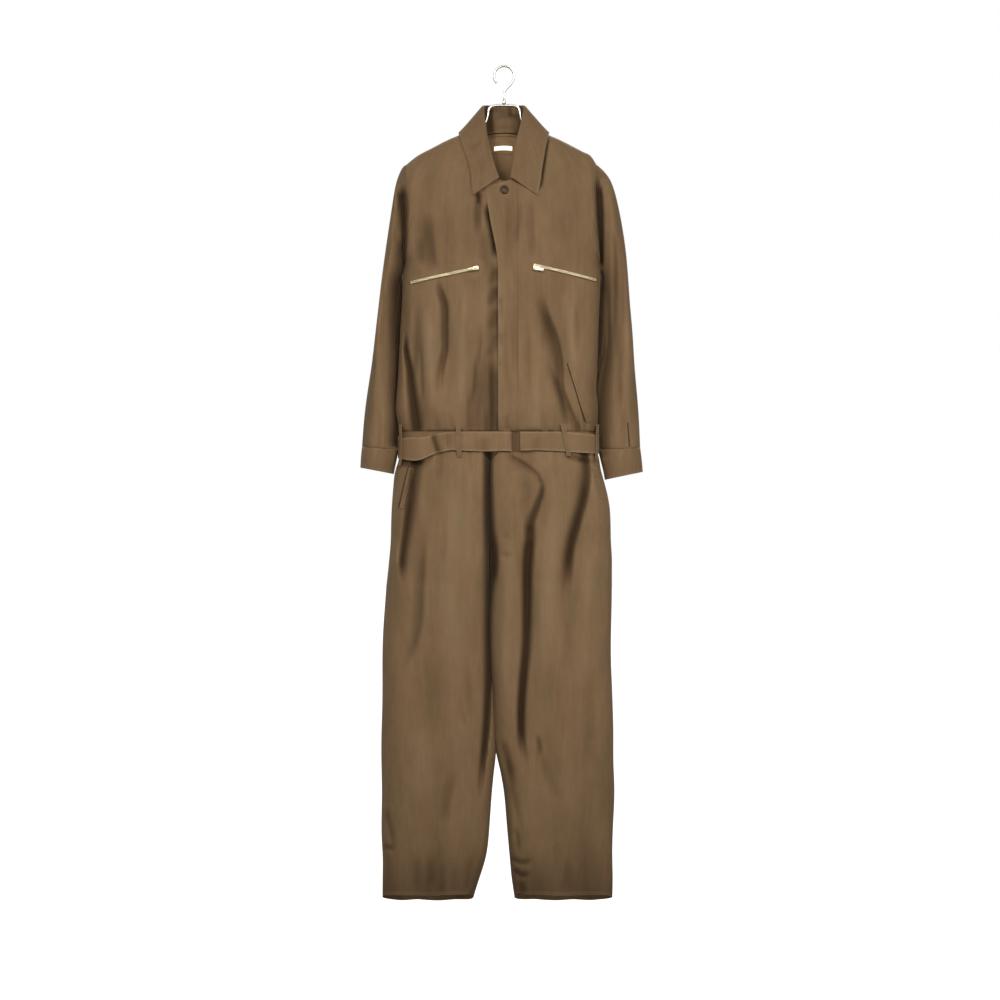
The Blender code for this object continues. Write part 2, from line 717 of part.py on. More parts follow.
def rest_on_bodice(x, drop, y, clear):
    """A y that keeps a point clear of the front and back panels."""
    lower = drop + clear
    if lower < SHOULDER.read("drop", abs(x)):
        return y
    face = -1.0 if y < 0.0 else 1.0
    return face * max(face * y, bodice_depth(x, lower, face) + clear)


def collar_profile(line, station):
    """Points of the collar at a station, from its seam over the roll to its outer edge."""
    seam_x = line.read("seam_x", station)
    if station < 5.3:
        seam_drop = FRONT_NECK.read("drop", abs(seam_x)) - 1.5
        face = -1
    else:
        seam_drop = BACK_NECK.read("drop", abs(seam_x)) - 1.5
        face = 1
    turn = smooth((station - 4.6) / 1.4) * 2.0 - 1.0
    seam_y = turn * bodice_depth(seam_x, seam_drop + 3.0, face)
    seam = place(seam_x, seam_y, seam_drop)
    roll = place(line.read("roll_x", station), line.read("roll_y", station), line.read("roll_drop", station))
    edge_x = line.read("edge_x", station)
    edge_drop = line.read("edge_drop", station)
    edge_y = rest_on_bodice(edge_x, edge_drop, line.read("edge_y", station), 3.2)
    edge = place(edge_x, edge_y, edge_drop)
    to_seam = (seam - roll).normalized()
    to_edge = (edge - roll).normalized()
    inward = (to_seam + to_edge).normalized()
    sideways = (to_edge - to_seam).normalized()
    centre = roll + inward * ROLL_RADIUS * MM
    stand = centre - sideways * ROLL_RADIUS * MM
    leaf = centre + sideways * ROLL_RADIUS * MM
    points = [seam, seam.lerp(stand, 0.5), stand, roll, leaf]
    for k in (1, 2, 3):
        point = leaf.lerp(edge, k / 4.0)
        x, y, drop = point.x / MM, point.y / MM, -point.z / MM
        points.append(place(x, rest_on_bodice(x, drop, y, 3.6), drop))
    points.append(edge)
    return points


def build_collar():
    """The collar, folded over its roll: a low stand inside and a pointed leaf outside."""
    last = COLLAR_LEFT.keys[-1]
    left = [collar_profile(COLLAR_LEFT, last * k / COLLAR_SIDES) for k in range(COLLAR_SIDES + 1)]
    right = [collar_profile(COLLAR_RIGHT, last * k / COLLAR_SIDES) for k in range(COLLAR_SIDES)]
    lines = left + list(reversed(right))
    wall("collar", lines, TWILL, sense=-1, thickness=1.5)


# ---------------------------------------------------------------- sleeves and cuffs


def sleeve_ring(line, ring, count):
    """Points round a sleeve at a ring, from its outer edge by the front to the inner edge."""
    outer = Vector((line.read("outer_x", ring), line.read("outer_drop", ring)))
    inner = Vector((line.read("inner_x", ring), line.read("inner_drop", ring)))
    middle = (outer + inner) / 2.0
    reach = (outer - inner) / 2.0
    slant = line.read("slant", ring)
    points = []
    for k in range(count):
        angle = 2.0 * math.pi * k / count
        face = -1.0 if angle < math.pi else 1.0
        deep = line.read("front" if face < 0 else "back", ring)
        y = face * deep * abs(math.sin(angle)) ** 0.9
        spot = middle + reach * math.cos(angle)
        points.append((spot.x + slant * y, y + line.read("set_back", ring), spot.y))
    return points


def sleeve_press(ring, angle):
    """How deep the sleeve's folds press in, at a ring and a clock angle in degrees."""
    total = 0.0
    for fold in SLEEVE_FOLDS:
        along = (ring - fold["first"]) / (fold["last"] - fold["first"])
        if 0.0 < along < 1.0:
            ends = smooth(along / 0.3) * smooth((1.0 - along) / 0.3)
            total += fold["depth"] * ends * math.exp(-((angle - fold["angle"]) / fold["width"]) ** 2)
    return total


def armhole_ring(side):
    """The sleeve's first ring: the armhole edges of front and back, moved out by the seam."""
    ring = []
    for k in range(2 * ARM_ROWS):
        i = min(k, 2 * ARM_ROWS - k)
        face = -1.0 if k < ARM_ROWS else 1.0
        share = (1.0 - math.cos(math.pi * i / ARM_ROWS)) / 2.0
        drop = mix(SHOULDER_TIP, UNDERARM, share)
        x = BODICE.read("left" if side < 0 else "right", drop) + side * SEAM
        ring.append(place(x, face * armhole_edge(x, drop, face), drop))
    return ring


def armhole_edge(x, drop, face):
    """Depth of the armhole's edge, as the bodice has it there."""
    fall = min(max((drop - SHOULDER.read("drop", SHOULDER_TIP)) / SHOULDER_FALL, 0.0), 1.0)
    depth = BODICE.read("front" if face < 0 else "back", drop) * math.sqrt(1.0 - (1.0 - fall) ** 2)
    return min(armhole_depth(drop), depth)


def build_sleeves():
    """Each sleeve is a tube from the armhole to the cuff seam."""
    count = 2 * ARM_ROWS
    for name, line, side in (("sleeve_left", LEFT_SLEEVE, -1), ("sleeve_right", RIGHT_SLEEVE, 1)):
        grid = [armhole_ring(side)]
        for ring in line.keys:
            points = sleeve_ring(line, ring, count)
            middle_x = sum(p[0] for p in points) / count
            middle_y = sum(p[1] for p in points) / count
            row = []
            for k, (x, y, drop) in enumerate(points):
                press = sleeve_press(ring, 360.0 * k / count)
                away = Vector((x - middle_x, y - middle_y)).normalized()
                row.append(place(x - away.x * press, y - away.y * press, drop))
            grid.append(row)
        leans = {}
        for k in range(count):
            face = -1.0 if k < ARM_ROWS else 1.0
            leans[(0, k)] = armhole_lean(min(k, count - k), side, face)
        tilt = (grid[-1][0] - grid[-1][ARM_ROWS]).cross(AXIS_Y).normalized()
        wall(name, grid, TWILL, sense=side, closed=True, hold={"last_row": tilt}, leans=leans)


def build_cuffs():
    """Each cuff is a short tube below its sleeve."""
    count = 2 * ARM_ROWS
    for name, line, side in (("cuff_left", LEFT_CUFF, -1), ("cuff_right", RIGHT_CUFF, 1)):
        grid = []
        for ring in line.keys:
            lower = 2.0 * SEAM if ring == 0 else 0.0
            grid.append([place(x, y, drop + lower) for x, y, drop in sleeve_ring(line, ring, count)])
        tilt = (grid[0][0] - grid[0][ARM_ROWS]).cross(AXIS_Y).normalized()
        wall(name, grid, TWILL, sense=side, thickness=2.2, closed=True, hold={"first_row": tilt})


# ---------------------------------------------------------------- waist


def waist_round(drop, out, count, start=0.0, stop=1.0):
    """Points at even steps round the waist, from the front centre by the left side to the back
    and the right side, moved out by a distance. start and stop are shares of the round."""
    quarter = 40
    corners = (
        (BELT_LEFT_END, -1, -1, False), (0.0, -1, 1, True), (0.0, 1, 1, False), (BELT_LEFT_END, 1, -1, True),
    )
    outline = []
    for begin, side, face, back_wards in corners:
        end = BODICE.read("left" if side < 0 else "right", drop)
        run = []
        for k in range(quarter + 1):
            x = mix(begin, end, math.sin(math.pi / 2.0 * k / quarter))
            run.append((x, face * waist_depth(x, drop, face)))
        if back_wards:
            run.reverse()
        outline += run if not outline else run[1:]
    moved = []
    size = len(outline)
    for k, (x, y) in enumerate(outline):
        x0, y0 = outline[(k - 1) % size] if k else outline[-2]
        x1, y1 = outline[(k + 1) % size] if k < size - 1 else outline[1]
        run = math.hypot(x1 - x0, y1 - y0)
        moved.append((x - out * (y1 - y0) / run, y + out * (x1 - x0) / run))
    keyed = [(n, x, y) for n, (x, y) in enumerate(moved)]
    result = []
    for key in cloth_steps(keyed, count):
        k = min(int(key), size - 2)
        share = key - k
        result.append((mix(moved[k][0], moved[k + 1][0], share), mix(moved[k][1], moved[k + 1][1], share)))
    return result


def waist_depth(x, drop, face):
    """Depth of the plain waist section at an x."""
    left = BODICE.read("left", drop)
    right = BODICE.read("right", drop)
    side = (x - (left + right) / 2.0) / ((right - left) / 2.0)
    return BODICE.read("front" if face < 0 else "back", drop) * round_off(side, BODICE_SQUARE)


def build_waistband():
    """A plain band between the two waist seams."""
    grid = []
    for drop in (WAIST_SEAM + SEAM / 2.0, BELT_DROP, TROUSER_SEAM - SEAM / 2.0):
        grid.append([place(x, y, drop) for x, y in waist_round(drop, 0.0, 44)[:-1]])
    hold = {"first_row": AXIS_Z, "last_row": AXIS_Z}
    wall("waistband", grid, TWILL_TRIM, sense=1, closed=True, hold=hold)


def belt_line():
    """Middle of the belt: x, y of each step, its sag, and its outward direction."""
    whole = waist_round(BELT_DROP, BELT_OUT, WAIST_STEPS)
    left_start = 0
    rest = enumerate(whole[:WAIST_STEPS])
    right_stop = max(k for k, (x, y) in rest if x > BELT_RIGHT_END or y > 0.0)
    steps = []
    for n in range(BELT_STEPS + 1):
        key = mix(left_start, right_stop, n / BELT_STEPS)
        k = min(int(key), WAIST_STEPS - 1)
        share = key - k
        x = mix(whole[k][0], whole[k + 1][0], share)
        y = mix(whole[k][1], whole[k + 1][1], share)
        sag = BELT_SAG.read("sag", x) * smooth((30.0 - y) / 60.0)
        steps.append((x, y, sag))
    return steps


def build_belt():
    """The belt, a flat strip round the waist whose two ends stand apart in front."""
    grid = []
    for row in (-0.5, 0.0, 0.5):
        grid.append([place(x, y, BELT_DROP + sag + row * BELT_HEIGHT) for x, y, sag in belt_line()])
    wall("belt", grid, TWILL, sense=1, thickness=BELT_WALL)


def build_loops():
    """Belt loops: strips sewn on above and below the belt and bowed over it."""
    whole = waist_round(BELT_DROP, 0.0, WAIST_STEPS)
    for name, (x_top, x_bottom, bottom, foot, face) in LOOPS.items():
        x_mid = (x_top + x_bottom) / 2.0
        inner = enumerate(whole[1:-1], 1)
        spots = [(abs(x - x_mid), k) for k, (x, y) in inner if y * face > 0.0 or abs(y) < 1.0]
        k = min(spots)[1]
        (xa, ya), (xb, yb) = whole[k - 1], whole[k + 1]
        along = Vector((xb - xa, yb - ya, 0.0)).normalized()
        outward = Vector((along.y, -along.x, 0.0))
        if outward.dot(Vector((whole[k][0], whole[k][1], 0.0))) < 0.0:
            outward.negate()
        base = Vector((whole[k][0], whole[k][1], 0.0))
        lean = (x_bottom - x_top)
        profile = Table("share out", *LOOP_BOW, (0.88, (LOOP_OVER + foot) / 2.0), (1.0, foot))
        grid = []
        for n in range(7):
            share = n / 6.0
            drop = mix(LOOP_TOP, bottom, share)
            middle = base + outward * profile.read("out", share) + AXIS_X * lean * (share - 0.5)
            line = []
            for half in (-0.5, 0.5):
                spot = middle + along * LOOP_WIDTH * half
                line.append(place(spot.x, spot.y, drop))
            grid.append(line)
        sense = 1 if (grid[0][1] - grid[0][0]).cross(-AXIS_Z).dot(outward) > 0.0 else -1
        wall(name, grid, TWILL_TRIM, sense=sense, thickness=TRIM)


# ---------------------------------------------------------------- trousers


def trouser_section(side, drop):
    """Outer x, inner x and centre of one half of the trousers."""
    if side < 0:
        outer, inner = TROUSERS.read("left", drop), TROUSERS.read("left_in", drop)
    else:
        outer, inner = TROUSERS.read("right", drop), TROUSERS.read("right_in", drop)
    if drop < CROTCH + 1.0:
        inner += side * SEAM / 2.0
    return outer, inner


def trouser_depth(x, side, drop, face):
    """How far a trouser panel stands from the plane of the side seams."""
    outer, inner = trouser_section(side, drop)
    half = (inner - outer) / 2.0
    t = (x - (outer + inner) / 2.0) / half
    depth = TROUSERS.read("front" if face < 0 else "back", drop)
    folds = TROUSER_FRONT_FOLDS if face < 0 else TROUSER_BACK_FOLDS
    fade = (1.0 - smooth((abs(t) - 0.66) / 0.3)) * smooth((drop - TROUSER_SEAM) / 14.0)
    depth -= fade * fold_depth(folds, x, drop)
    if t < 0.0:
        result = depth * round_off(t, TROUSER_SQUARE_OUT)
    else:
        seam = min(TROUSERS.read("front_seam" if face < 0 else "back_seam", drop), depth)
        result = seam + (depth - seam) * round_off(t, TROUSER_SQUARE_IN[face])
    if drop < TROUSER_BLEND:
        share = smooth((drop - TROUSER_SEAM) / (TROUSER_BLEND - TROUSER_SEAM))
        result = mix(min(result, waist_depth(x, TROUSER_SEAM, face)), result, share)
    return max(result, SEAM / 2.0)


def trouser_grid(side, face):
    """Points of a trouser panel: columns from side seam to centre seam or inseam."""
    grid = []
    for drop in TROUSER_DROPS:
        outer, inner = trouser_section(side, drop)
        outline = []
        for k in range(81):
            x = mix(outer, inner, (1.0 - math.cos(math.pi * k / 80.0)) / 2.0)
            outline.append((x, x, trouser_depth(x, side, drop, face)))
        level = drop + (SEAM / 2.0 if drop == TROUSER_SEAM else 0.0)
        line = []
        for x in cloth_steps(outline, FOLD_COLUMNS):
            y = face * trouser_depth(x, side, drop, face)
            tilt = HEM_TILT * y * smooth((drop - 1440.0) / 130.0)
            line.append(place(x, y, level + tilt))
        grid.append(line)
    return grid


def build_trousers():
    """Four panels: a front and a back for each leg."""
    for face, word in ((-1, "front"), (1, "back")):
        for side, name in ((-1, "left"), (1, "right")):
            grid = trouser_grid(side, face)
            last = FOLD_COLUMNS
            sense = -side * face
            normals = grid_normals(grid, False, sense)
            leans = {}
            for i, drop in enumerate(TROUSER_DROPS):
                leans[(i, 0)] = Vector((side, 0.0, 0.0))
                if i == 0:
                    leans[(i, last)] = Vector((0.0, face, 0.0))
                elif drop < CROTCH:
                    leans[(i, last)] = without(normals[i][last], AXIS_X)
                elif drop > CROTCH:
                    leans[(i, last)] = Vector((-side, 0.0, 0.0))
                else:
                    leans[(i, last)] = Vector((0.0, 0.0, -1.0))
            wall(
                f"trouser_{word}_{name}", grid, TWILL, sense=sense,
                hold={"first_row": AXIS_Z, "last_row": AXIS_Z}, leans=leans,
            )


# ---------------------------------------------------------------- pocket edges


def on_panel(panel, x, drop, clear):
    """A point seen at a place on a front panel's own faces, moved out by a distance in mm."""
    tree = BVHTree.FromObject(bpy.data.objects[panel], bpy.context.evaluated_depsgraph_get())
    spot, normal = tree.ray_cast(place(x, -500.0, drop), AXIS_Y)[:2]
    return spot + normal * clear * MM


def strip_on_panel(name, panel, start, end, width, finish, columns=8, wall_size=TRIM, clear=ON_TOP):
    """A narrow strip lying on a front panel, from one (x, drop) to another."""
    run = Vector((end[0] - start[0], end[1] - start[1]))
    across = Vector((run.y, -run.x)).normalized() * width
    grid = []
    for row in (0.0, 0.5, 1.0):
        line = []
        for k in range(columns + 1):
            spot = Vector(start) + run * (k / columns) + across * row
            line.append(on_panel(panel, spot.x, spot.y, clear + wall_size))
        grid.append(line)
    normals = grid_normals(grid, False, 1)
    sense = 1 if normals[1][1].y < 0.0 else -1
    wall(name, grid, finish, sense=sense, thickness=wall_size)


def build_pocket_edges():
    """Turned edges of the hip pockets and of the slanted slit above the belt."""
    strips = (
        ("hip_pocket_left", "trouser_front_left", (-176, 762), (-196, 838), 1.6),
        ("hip_pocket_right", "trouser_front_right", (186, 818), (172, 760), 1.6),
        ("slit_welt_right", "front_right", (120, 566), (153, 676), 1.2),
    )
    for name, panel, start, end, clear in strips:
        strip_on_panel(name, panel, start, end, WELT_WIDTH, TWILL_TRIM, clear=clear)


# ---------------------------------------------------------------- zips


def zip_frame(side):
    """A frame on the chest: origin at the zip's inner end, axes along, across and out."""
    start, end = ZIPS[side]
    panel = f"front_{side}"
    a = on_panel(panel, start[0], start[1], 0.0)
    share = SLIDER_SPAN / math.hypot(end[0] - start[0], end[1] - start[1])
    near = (mix(start[0], end[0], share), mix(start[1], end[1], share))
    b = on_panel(panel, near[0], near[1], 0.0)
    along = (b - a).normalized()
    out = without(Vector((0.0, -1.0, 0.0)), along)
    across = out.cross(along)
    return a, along, across, out


def build_chain(side):
    """The zip's closed teeth as one bar let into the chest."""
    start, end = ZIPS[side]
    strip_on_panel(
        f"zip_chain_{side}", f"front_{side}", start, end, CHAIN_WIDTH, ZIP_METAL,
        columns=12, wall_size=CHAIN_WALL, clear=CHAIN_CLEAR,
    )


def box_between(mesh, low, high):
    """Add a box between two corners and return its vertices."""
    made = bmesh.ops.create_cube(mesh, size=1.0)["verts"]
    size = Vector([b - a for a, b in zip(low, high)])
    middle = Vector([(a + b) / 2.0 for a, b in zip(low, high)])
    bmesh.ops.scale(mesh, vec=size, verts=made)
    bmesh.ops.translate(mesh, vec=middle, verts=made)
    return made


def joined(name, boxes, frame, finish):
    """One solid from overlapping boxes in a frame, in mm along, across and out."""
    origin, along, across, out = frame
    turn = Matrix((along, across, out)).transposed().to_4x4()
    items = []
    for low, high in boxes:
        mesh = bmesh.new()
        box_between(mesh, low, high)
        bmesh.ops.scale(mesh, vec=(MM, MM, MM), verts=mesh.verts)
        items.append(add_object(f"{name}_box", mesh, finish))
    body = items[0]
    for other in items[1:]:
        union = body.modifiers.new("union", "BOOLEAN")
        union.operation = "UNION"
        union.solver = "EXACT"
        union.object = other
    depsgraph = bpy.context.evaluated_depsgraph_get()
    data = bpy.data.meshes.new_from_object(body.evaluated_get(depsgraph))
    for item in items:
        bpy.data.objects.remove(item, do_unlink=True)
    mesh = bmesh.new()
    mesh.from_mesh(data)
    bmesh.ops.dissolve_limit(mesh, angle_limit=math.radians(1.0), verts=mesh.verts, edges=mesh.edges)
    result = add_object(name, mesh, finish)
    result.matrix_world = Matrix.Translation(origin) @ turn
    return result


def build_slider(side):
    """The slider's body with the bail that holds the pull."""
    a, along, across, out = zip_frame(side)
    floor = CHAIN_CLEAR + CHAIN_WALL + SLIDER_CLEAR
    middle = -CHAIN_WIDTH / 2.0
    sign = 1.0 if side == "left" else -1.0
    centre = across * (sign * middle * -MM)
    frame = (a + centre, along, across, out)
    half = SLIDER_WIDTH / 2.0
    top = floor + SLIDER_WALL
    foot = (SLIDER_LENGTH - BAIL_OPENING) / 2.0
    bail_top = top + BAIL_CLEAR + BAIL_WALL
    near = foot - POST_WIDTH
    far = foot + BAIL_OPENING + POST_WIDTH
    boxes = [
        ((0.0, -half, floor), (SLIDER_LENGTH, half, top)),
        ((near, -BAIL_WIDTH / 2.0, top - POST_SINK), (foot, BAIL_WIDTH / 2.0, bail_top)),
        ((foot + BAIL_OPENING, -BAIL_WIDTH / 2.0, top - POST_SINK), (far, BAIL_WIDTH / 2.0, bail_top)),
        ((near, -BAIL_WIDTH / 2.0, bail_top - BAIL_WALL), (far, BAIL_WIDTH / 2.0, bail_top)),
    ]
    joined(f"zip_slider_{side}", boxes, frame, ZIP_METAL)
    pin_along = SLIDER_LENGTH / 2.0
    pin_out = top + BAIL_CLEAR / 2.0
    pin = frame[0] + along * pin_along * MM + out * pin_out * MM
    build_pull(side, (pin, along, across, out))


def build_pull(side, frame):
    """The pull: a bar under the bail, two arms and a tab, turning about the bar."""
    half = PULL_WIRE / 2.0
    arm = PULL_INSIDE / 2.0
    outer = arm + PULL_WIRE
    boxes = [
        ((-half, -outer, -half), (half, outer, half)),
        ((-half, -outer, -half), (PULL_ARMS, -arm, half)),
        ((-half, arm, -half), (PULL_ARMS, outer, half)),
        ((PULL_ARMS - PULL_WIRE, -PULL_WIDTH / 2.0, -half), (PULL_LENGTH, PULL_WIDTH / 2.0, half)),
    ]
    joined(f"zip_pull_{side}", boxes, frame, ZIP_METAL)


# ---------------------------------------------------------------- button


def build_button():
    """A dished button on the placket."""
    depth = bodice_depth(BUTTON_X, BUTTON_DROP, -1)
    back = depth + ON_TOP + BUTTON_SHANK
    rim = (
        (0.0, 0.0), (BUTTON_RADIUS - 1.2, 0.0), (BUTTON_RADIUS, 1.0), (BUTTON_RADIUS - 0.3, 2.4),
        (BUTTON_RADIUS - 1.2, BUTTON_WALL), (BUTTON_RADIUS - 2.4, BUTTON_WALL - 0.3),
        (BUTTON_RADIUS - 3.2, BUTTON_WALL - 1.0), (0.0, BUTTON_WALL - 1.1),
    )
    mesh = bmesh.new()
    verts = [mesh.verts.new((radius * MM, -height * MM, 0.0)) for radius, height in rim]
    edges = [mesh.edges.new(pair) for pair in zip(verts, verts[1:])]
    bmesh.ops.spin(
        mesh, geom=verts + edges, cent=(0, 0, 0), axis=(0, 1, 0), angle=2.0 * math.pi, steps=20,
        use_merge=True,
    )
    bmesh.ops.remove_doubles(mesh, verts=mesh.verts, dist=1e-6)
    item = add_object("button", mesh, HORN)
    item.location = place(BUTTON_X, -back, BUTTON_DROP)


# ---------------------------------------------------------------- hanger


def curve_through(points, steps):
    """A smooth open curve through points, with even steps between each two."""
    padded = [points[0] * 2.0 - points[1]] + points + [points[-1] * 2.0 - points[-2]]
    result = []
    for a, b, c, d in zip(padded, padded[1:], padded[2:], padded[3:]):
        for k in range(steps):
            t = k / steps
            point = b * 2.0 + (c - a) * t + (a * 2.0 - b * 5.0 + c * 4.0 - d) * t ** 2
            point += (b * 3.0 - a - c * 3.0 + d) * t ** 3
            result.append(point * 0.5)
    return result + [points[-1]]


def rod(name, path, radius, sides, finish):
    """A round rod along a path that lies in a plane of constant y, with domed ends."""
    mesh = bmesh.new()
    rings = []
    last = len(path) - 1
    for k, point in enumerate(path):
        along = (path[min(k + 1, last)] - path[max(k - 1, 0)]).normalized()
        normal = AXIS_Y.cross(along)
        rings.append((point, along, normal, radius))
    first = rings[0]
    end = rings[-1]
    dome = radius * 0.55
    rings.insert(0, (first[0] - first[1] * dome * MM, first[1], first[2], radius * 0.55))
    rings.append((end[0] + end[1] * dome * MM, end[1], end[2], radius * 0.55))
    loops = []
    for point, _, normal, size in rings:
        loop = []
        for n in range(sides):
            angle = 2.0 * math.pi * n / sides
            offset = normal * math.cos(angle) + AXIS_Y * math.sin(angle)
            loop.append(mesh.verts.new(point + offset * size * MM))
        loops.append(loop)
    for a, b in zip(loops, loops[1:]):
        for n in range(sides):
            m = (n + 1) % sides
            mesh.faces.new((a[n], a[m], b[m], b[n]))
    mesh.faces.new(loops[0])
    mesh.faces.new(loops[-1])
    return add_object(name, mesh, finish)


def build_hanger():
    """The hanger: a rod along both shoulders that arches up through the neck."""
    half = [
        (0.0, 73.0), (16.0, 73.2), (25.0, 76.0), (29.6, 84.0), (32.0, 97.0), (40.0, 112.0),
        (56.0, 125.5), (80.0, 137.0), (106.0, 148.5), (135.0, 163.0), (158.0, 175.5),
    ]
    left = [place(-x, 0.0, drop) for x, drop in reversed(half)]
    right = [place(x, 0.0, drop) for x, drop in half[1:]]
    rod("hanger", curve_through(left + right, 1), ROD_RADIUS, 8, NICKEL)


def build_hook():
    """The hook above the hanger's middle, and the ferrule at its foot."""
    radius = HOOK_INSIDE + HOOK_RADIUS
    path = [(0.0, 60.6), (0.0, 50.0), (4.0, 42.0), (11.0, 34.5)]
    for degrees in range(-35, 221, 17):
        angle = math.radians(degrees)
        path.append((radius * math.cos(angle), HOOK_INSIDE - radius * math.sin(angle)))
    points = [place(x, 0.0, drop) for x, drop in path]
    rod("hook", curve_through(points, 1), HOOK_RADIUS, 8, NICKEL)
    mesh = bmesh.new()
    bmesh.ops.create_cone(
        mesh, cap_ends=True, segments=16, radius1=FERRULE_RADIUS * MM, radius2=FERRULE_RADIUS * 0.8 * MM,
        depth=7.0 * MM,
    )
    item = add_object("ferrule", mesh, NICKEL)
    item.location = place(0.0, 0.0, 66.0)


def main():
    """Build every piece of the suit and its hanger."""
    clear_scene()
    build_fronts()
    build_back()
    build_placket()
    build_neck_inside()
    build_collar()
    build_sleeves()
    build_cuffs()
    build_waistband()
    build_belt()
    build_loops()
    build_trousers()
    build_pocket_edges()
    for side in ZIPS:
        build_chain(side)
        build_slider(side)
    build_button()
    build_hanger()
    build_hook()


main()
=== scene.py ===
"""A long-sleeved boiler suit on a rod hanger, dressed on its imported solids.

Lengths in the tables are millimetres: x to the right of the front view, and drop, the distance
below the point that the hook hangs from. Meshes are in metres.
"""

import logging
import math
from collections.abc import Sequence
from dataclasses import dataclass, field, replace
from enum import Enum

import bmesh
import bpy
import numpy as np
from mathutils import Matrix, Vector
from mathutils.bvhtree import BVHTree
from mathutils.kdtree import KDTree


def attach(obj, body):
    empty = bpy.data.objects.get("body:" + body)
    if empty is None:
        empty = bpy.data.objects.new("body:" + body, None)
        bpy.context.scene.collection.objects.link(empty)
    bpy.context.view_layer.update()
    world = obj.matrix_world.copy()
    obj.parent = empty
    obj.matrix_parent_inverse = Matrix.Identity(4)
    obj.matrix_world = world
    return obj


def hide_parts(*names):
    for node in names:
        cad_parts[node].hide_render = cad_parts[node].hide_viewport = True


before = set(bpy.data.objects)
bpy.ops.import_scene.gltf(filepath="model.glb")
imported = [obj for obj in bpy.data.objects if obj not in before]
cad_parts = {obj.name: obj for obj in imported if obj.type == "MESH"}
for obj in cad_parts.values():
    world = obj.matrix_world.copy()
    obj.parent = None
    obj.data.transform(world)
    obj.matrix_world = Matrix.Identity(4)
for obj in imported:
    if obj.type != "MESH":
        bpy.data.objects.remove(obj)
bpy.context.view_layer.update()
LOG = logging.getLogger("boiler_suit")
MM = 0.001
FAR = 1e9                       # a limit that nothing reaches
TINY = 1e-9                     # a length that counts as none
AWAY = 500.0                    # rays that look for the cloth start this far in front or behind
MERGE = 2e-6                    # points of a solid closer than this are one, in metres
SHARP = math.radians(55.0)      # a solid's edges that bend further are the cut edges of its cloth

Pair = tuple[float, float]
Triple = tuple[float, float, float]
Place = tuple[Vector, Vector, Vector]       # a point and two directions there
Inputs = dict[int | str, object] | Sequence[object]


# ---------------------------------------------------------------- colours and nodes


def linear(code: str, alpha: float = 1.0) -> tuple[float, float, float, float]:
    """Turn an sRGB hex value into linear colour.

    Args:
        code: six hex digits, with or without a leading sign.
        alpha: the fourth number of the result.

    Returns:
        Red, green, blue and alpha, linear.
    """
    parts = [int(code.lstrip("#")[k:k + 2], 16) / 255.0 for k in (0, 2, 4)]
    red, green, blue = (p / 12.92 if p <= 0.04045 else ((p + 0.055) / 1.055) ** 2.4 for p in parts)
    return red, green, blue, alpha


def add_node(
    tree: bpy.types.NodeTree, kind: str, inputs: Inputs = (), **settings: object,
) -> bpy.types.Node:
    """Add a node with its settings, values and links.

    Args:
        tree: the node tree.
        kind: the node's type, without the ShaderNode that all of them begin with.
        inputs: a value or an output socket for each input, by name or number or from the first on.
        settings: attributes of the node.

    Returns:
        The node.
    """
    node = tree.nodes.new(f"ShaderNode{kind}")
    for key, value in settings.items():
        setattr(node, key, value)
    for key, value in inputs.items() if isinstance(inputs, dict) else enumerate(inputs):
        if isinstance(value, bpy.types.NodeSocket):
            tree.links.new(value, node.inputs[key])
        else:
            node.inputs[key].default_value = value
    return node


def new_material(name: str) -> tuple[bpy.types.Material, bpy.types.NodeTree]:
    """Start a material with an empty node tree.

    Args:
        name: the real material's name.

    Returns:
        The material and its node tree.
    """
    material = bpy.data.materials.new(name)
    material.use_nodes = True
    material.node_tree.nodes.clear()
    return material, material.node_tree


def surfaced(material: bpy.types.Material, inputs: Inputs) -> bpy.types.Material:
    """Close a material with its shader.

    Args:
        material: the material, with the nodes that feed the shader.
        inputs: the principled shader's values and links.

    Returns:
        The material.
    """
    shader = add_node(material.node_tree, "BsdfPrincipled", inputs)
    add_node(material.node_tree, "OutputMaterial", {"Surface": shader.outputs["BSDF"]})
    return material


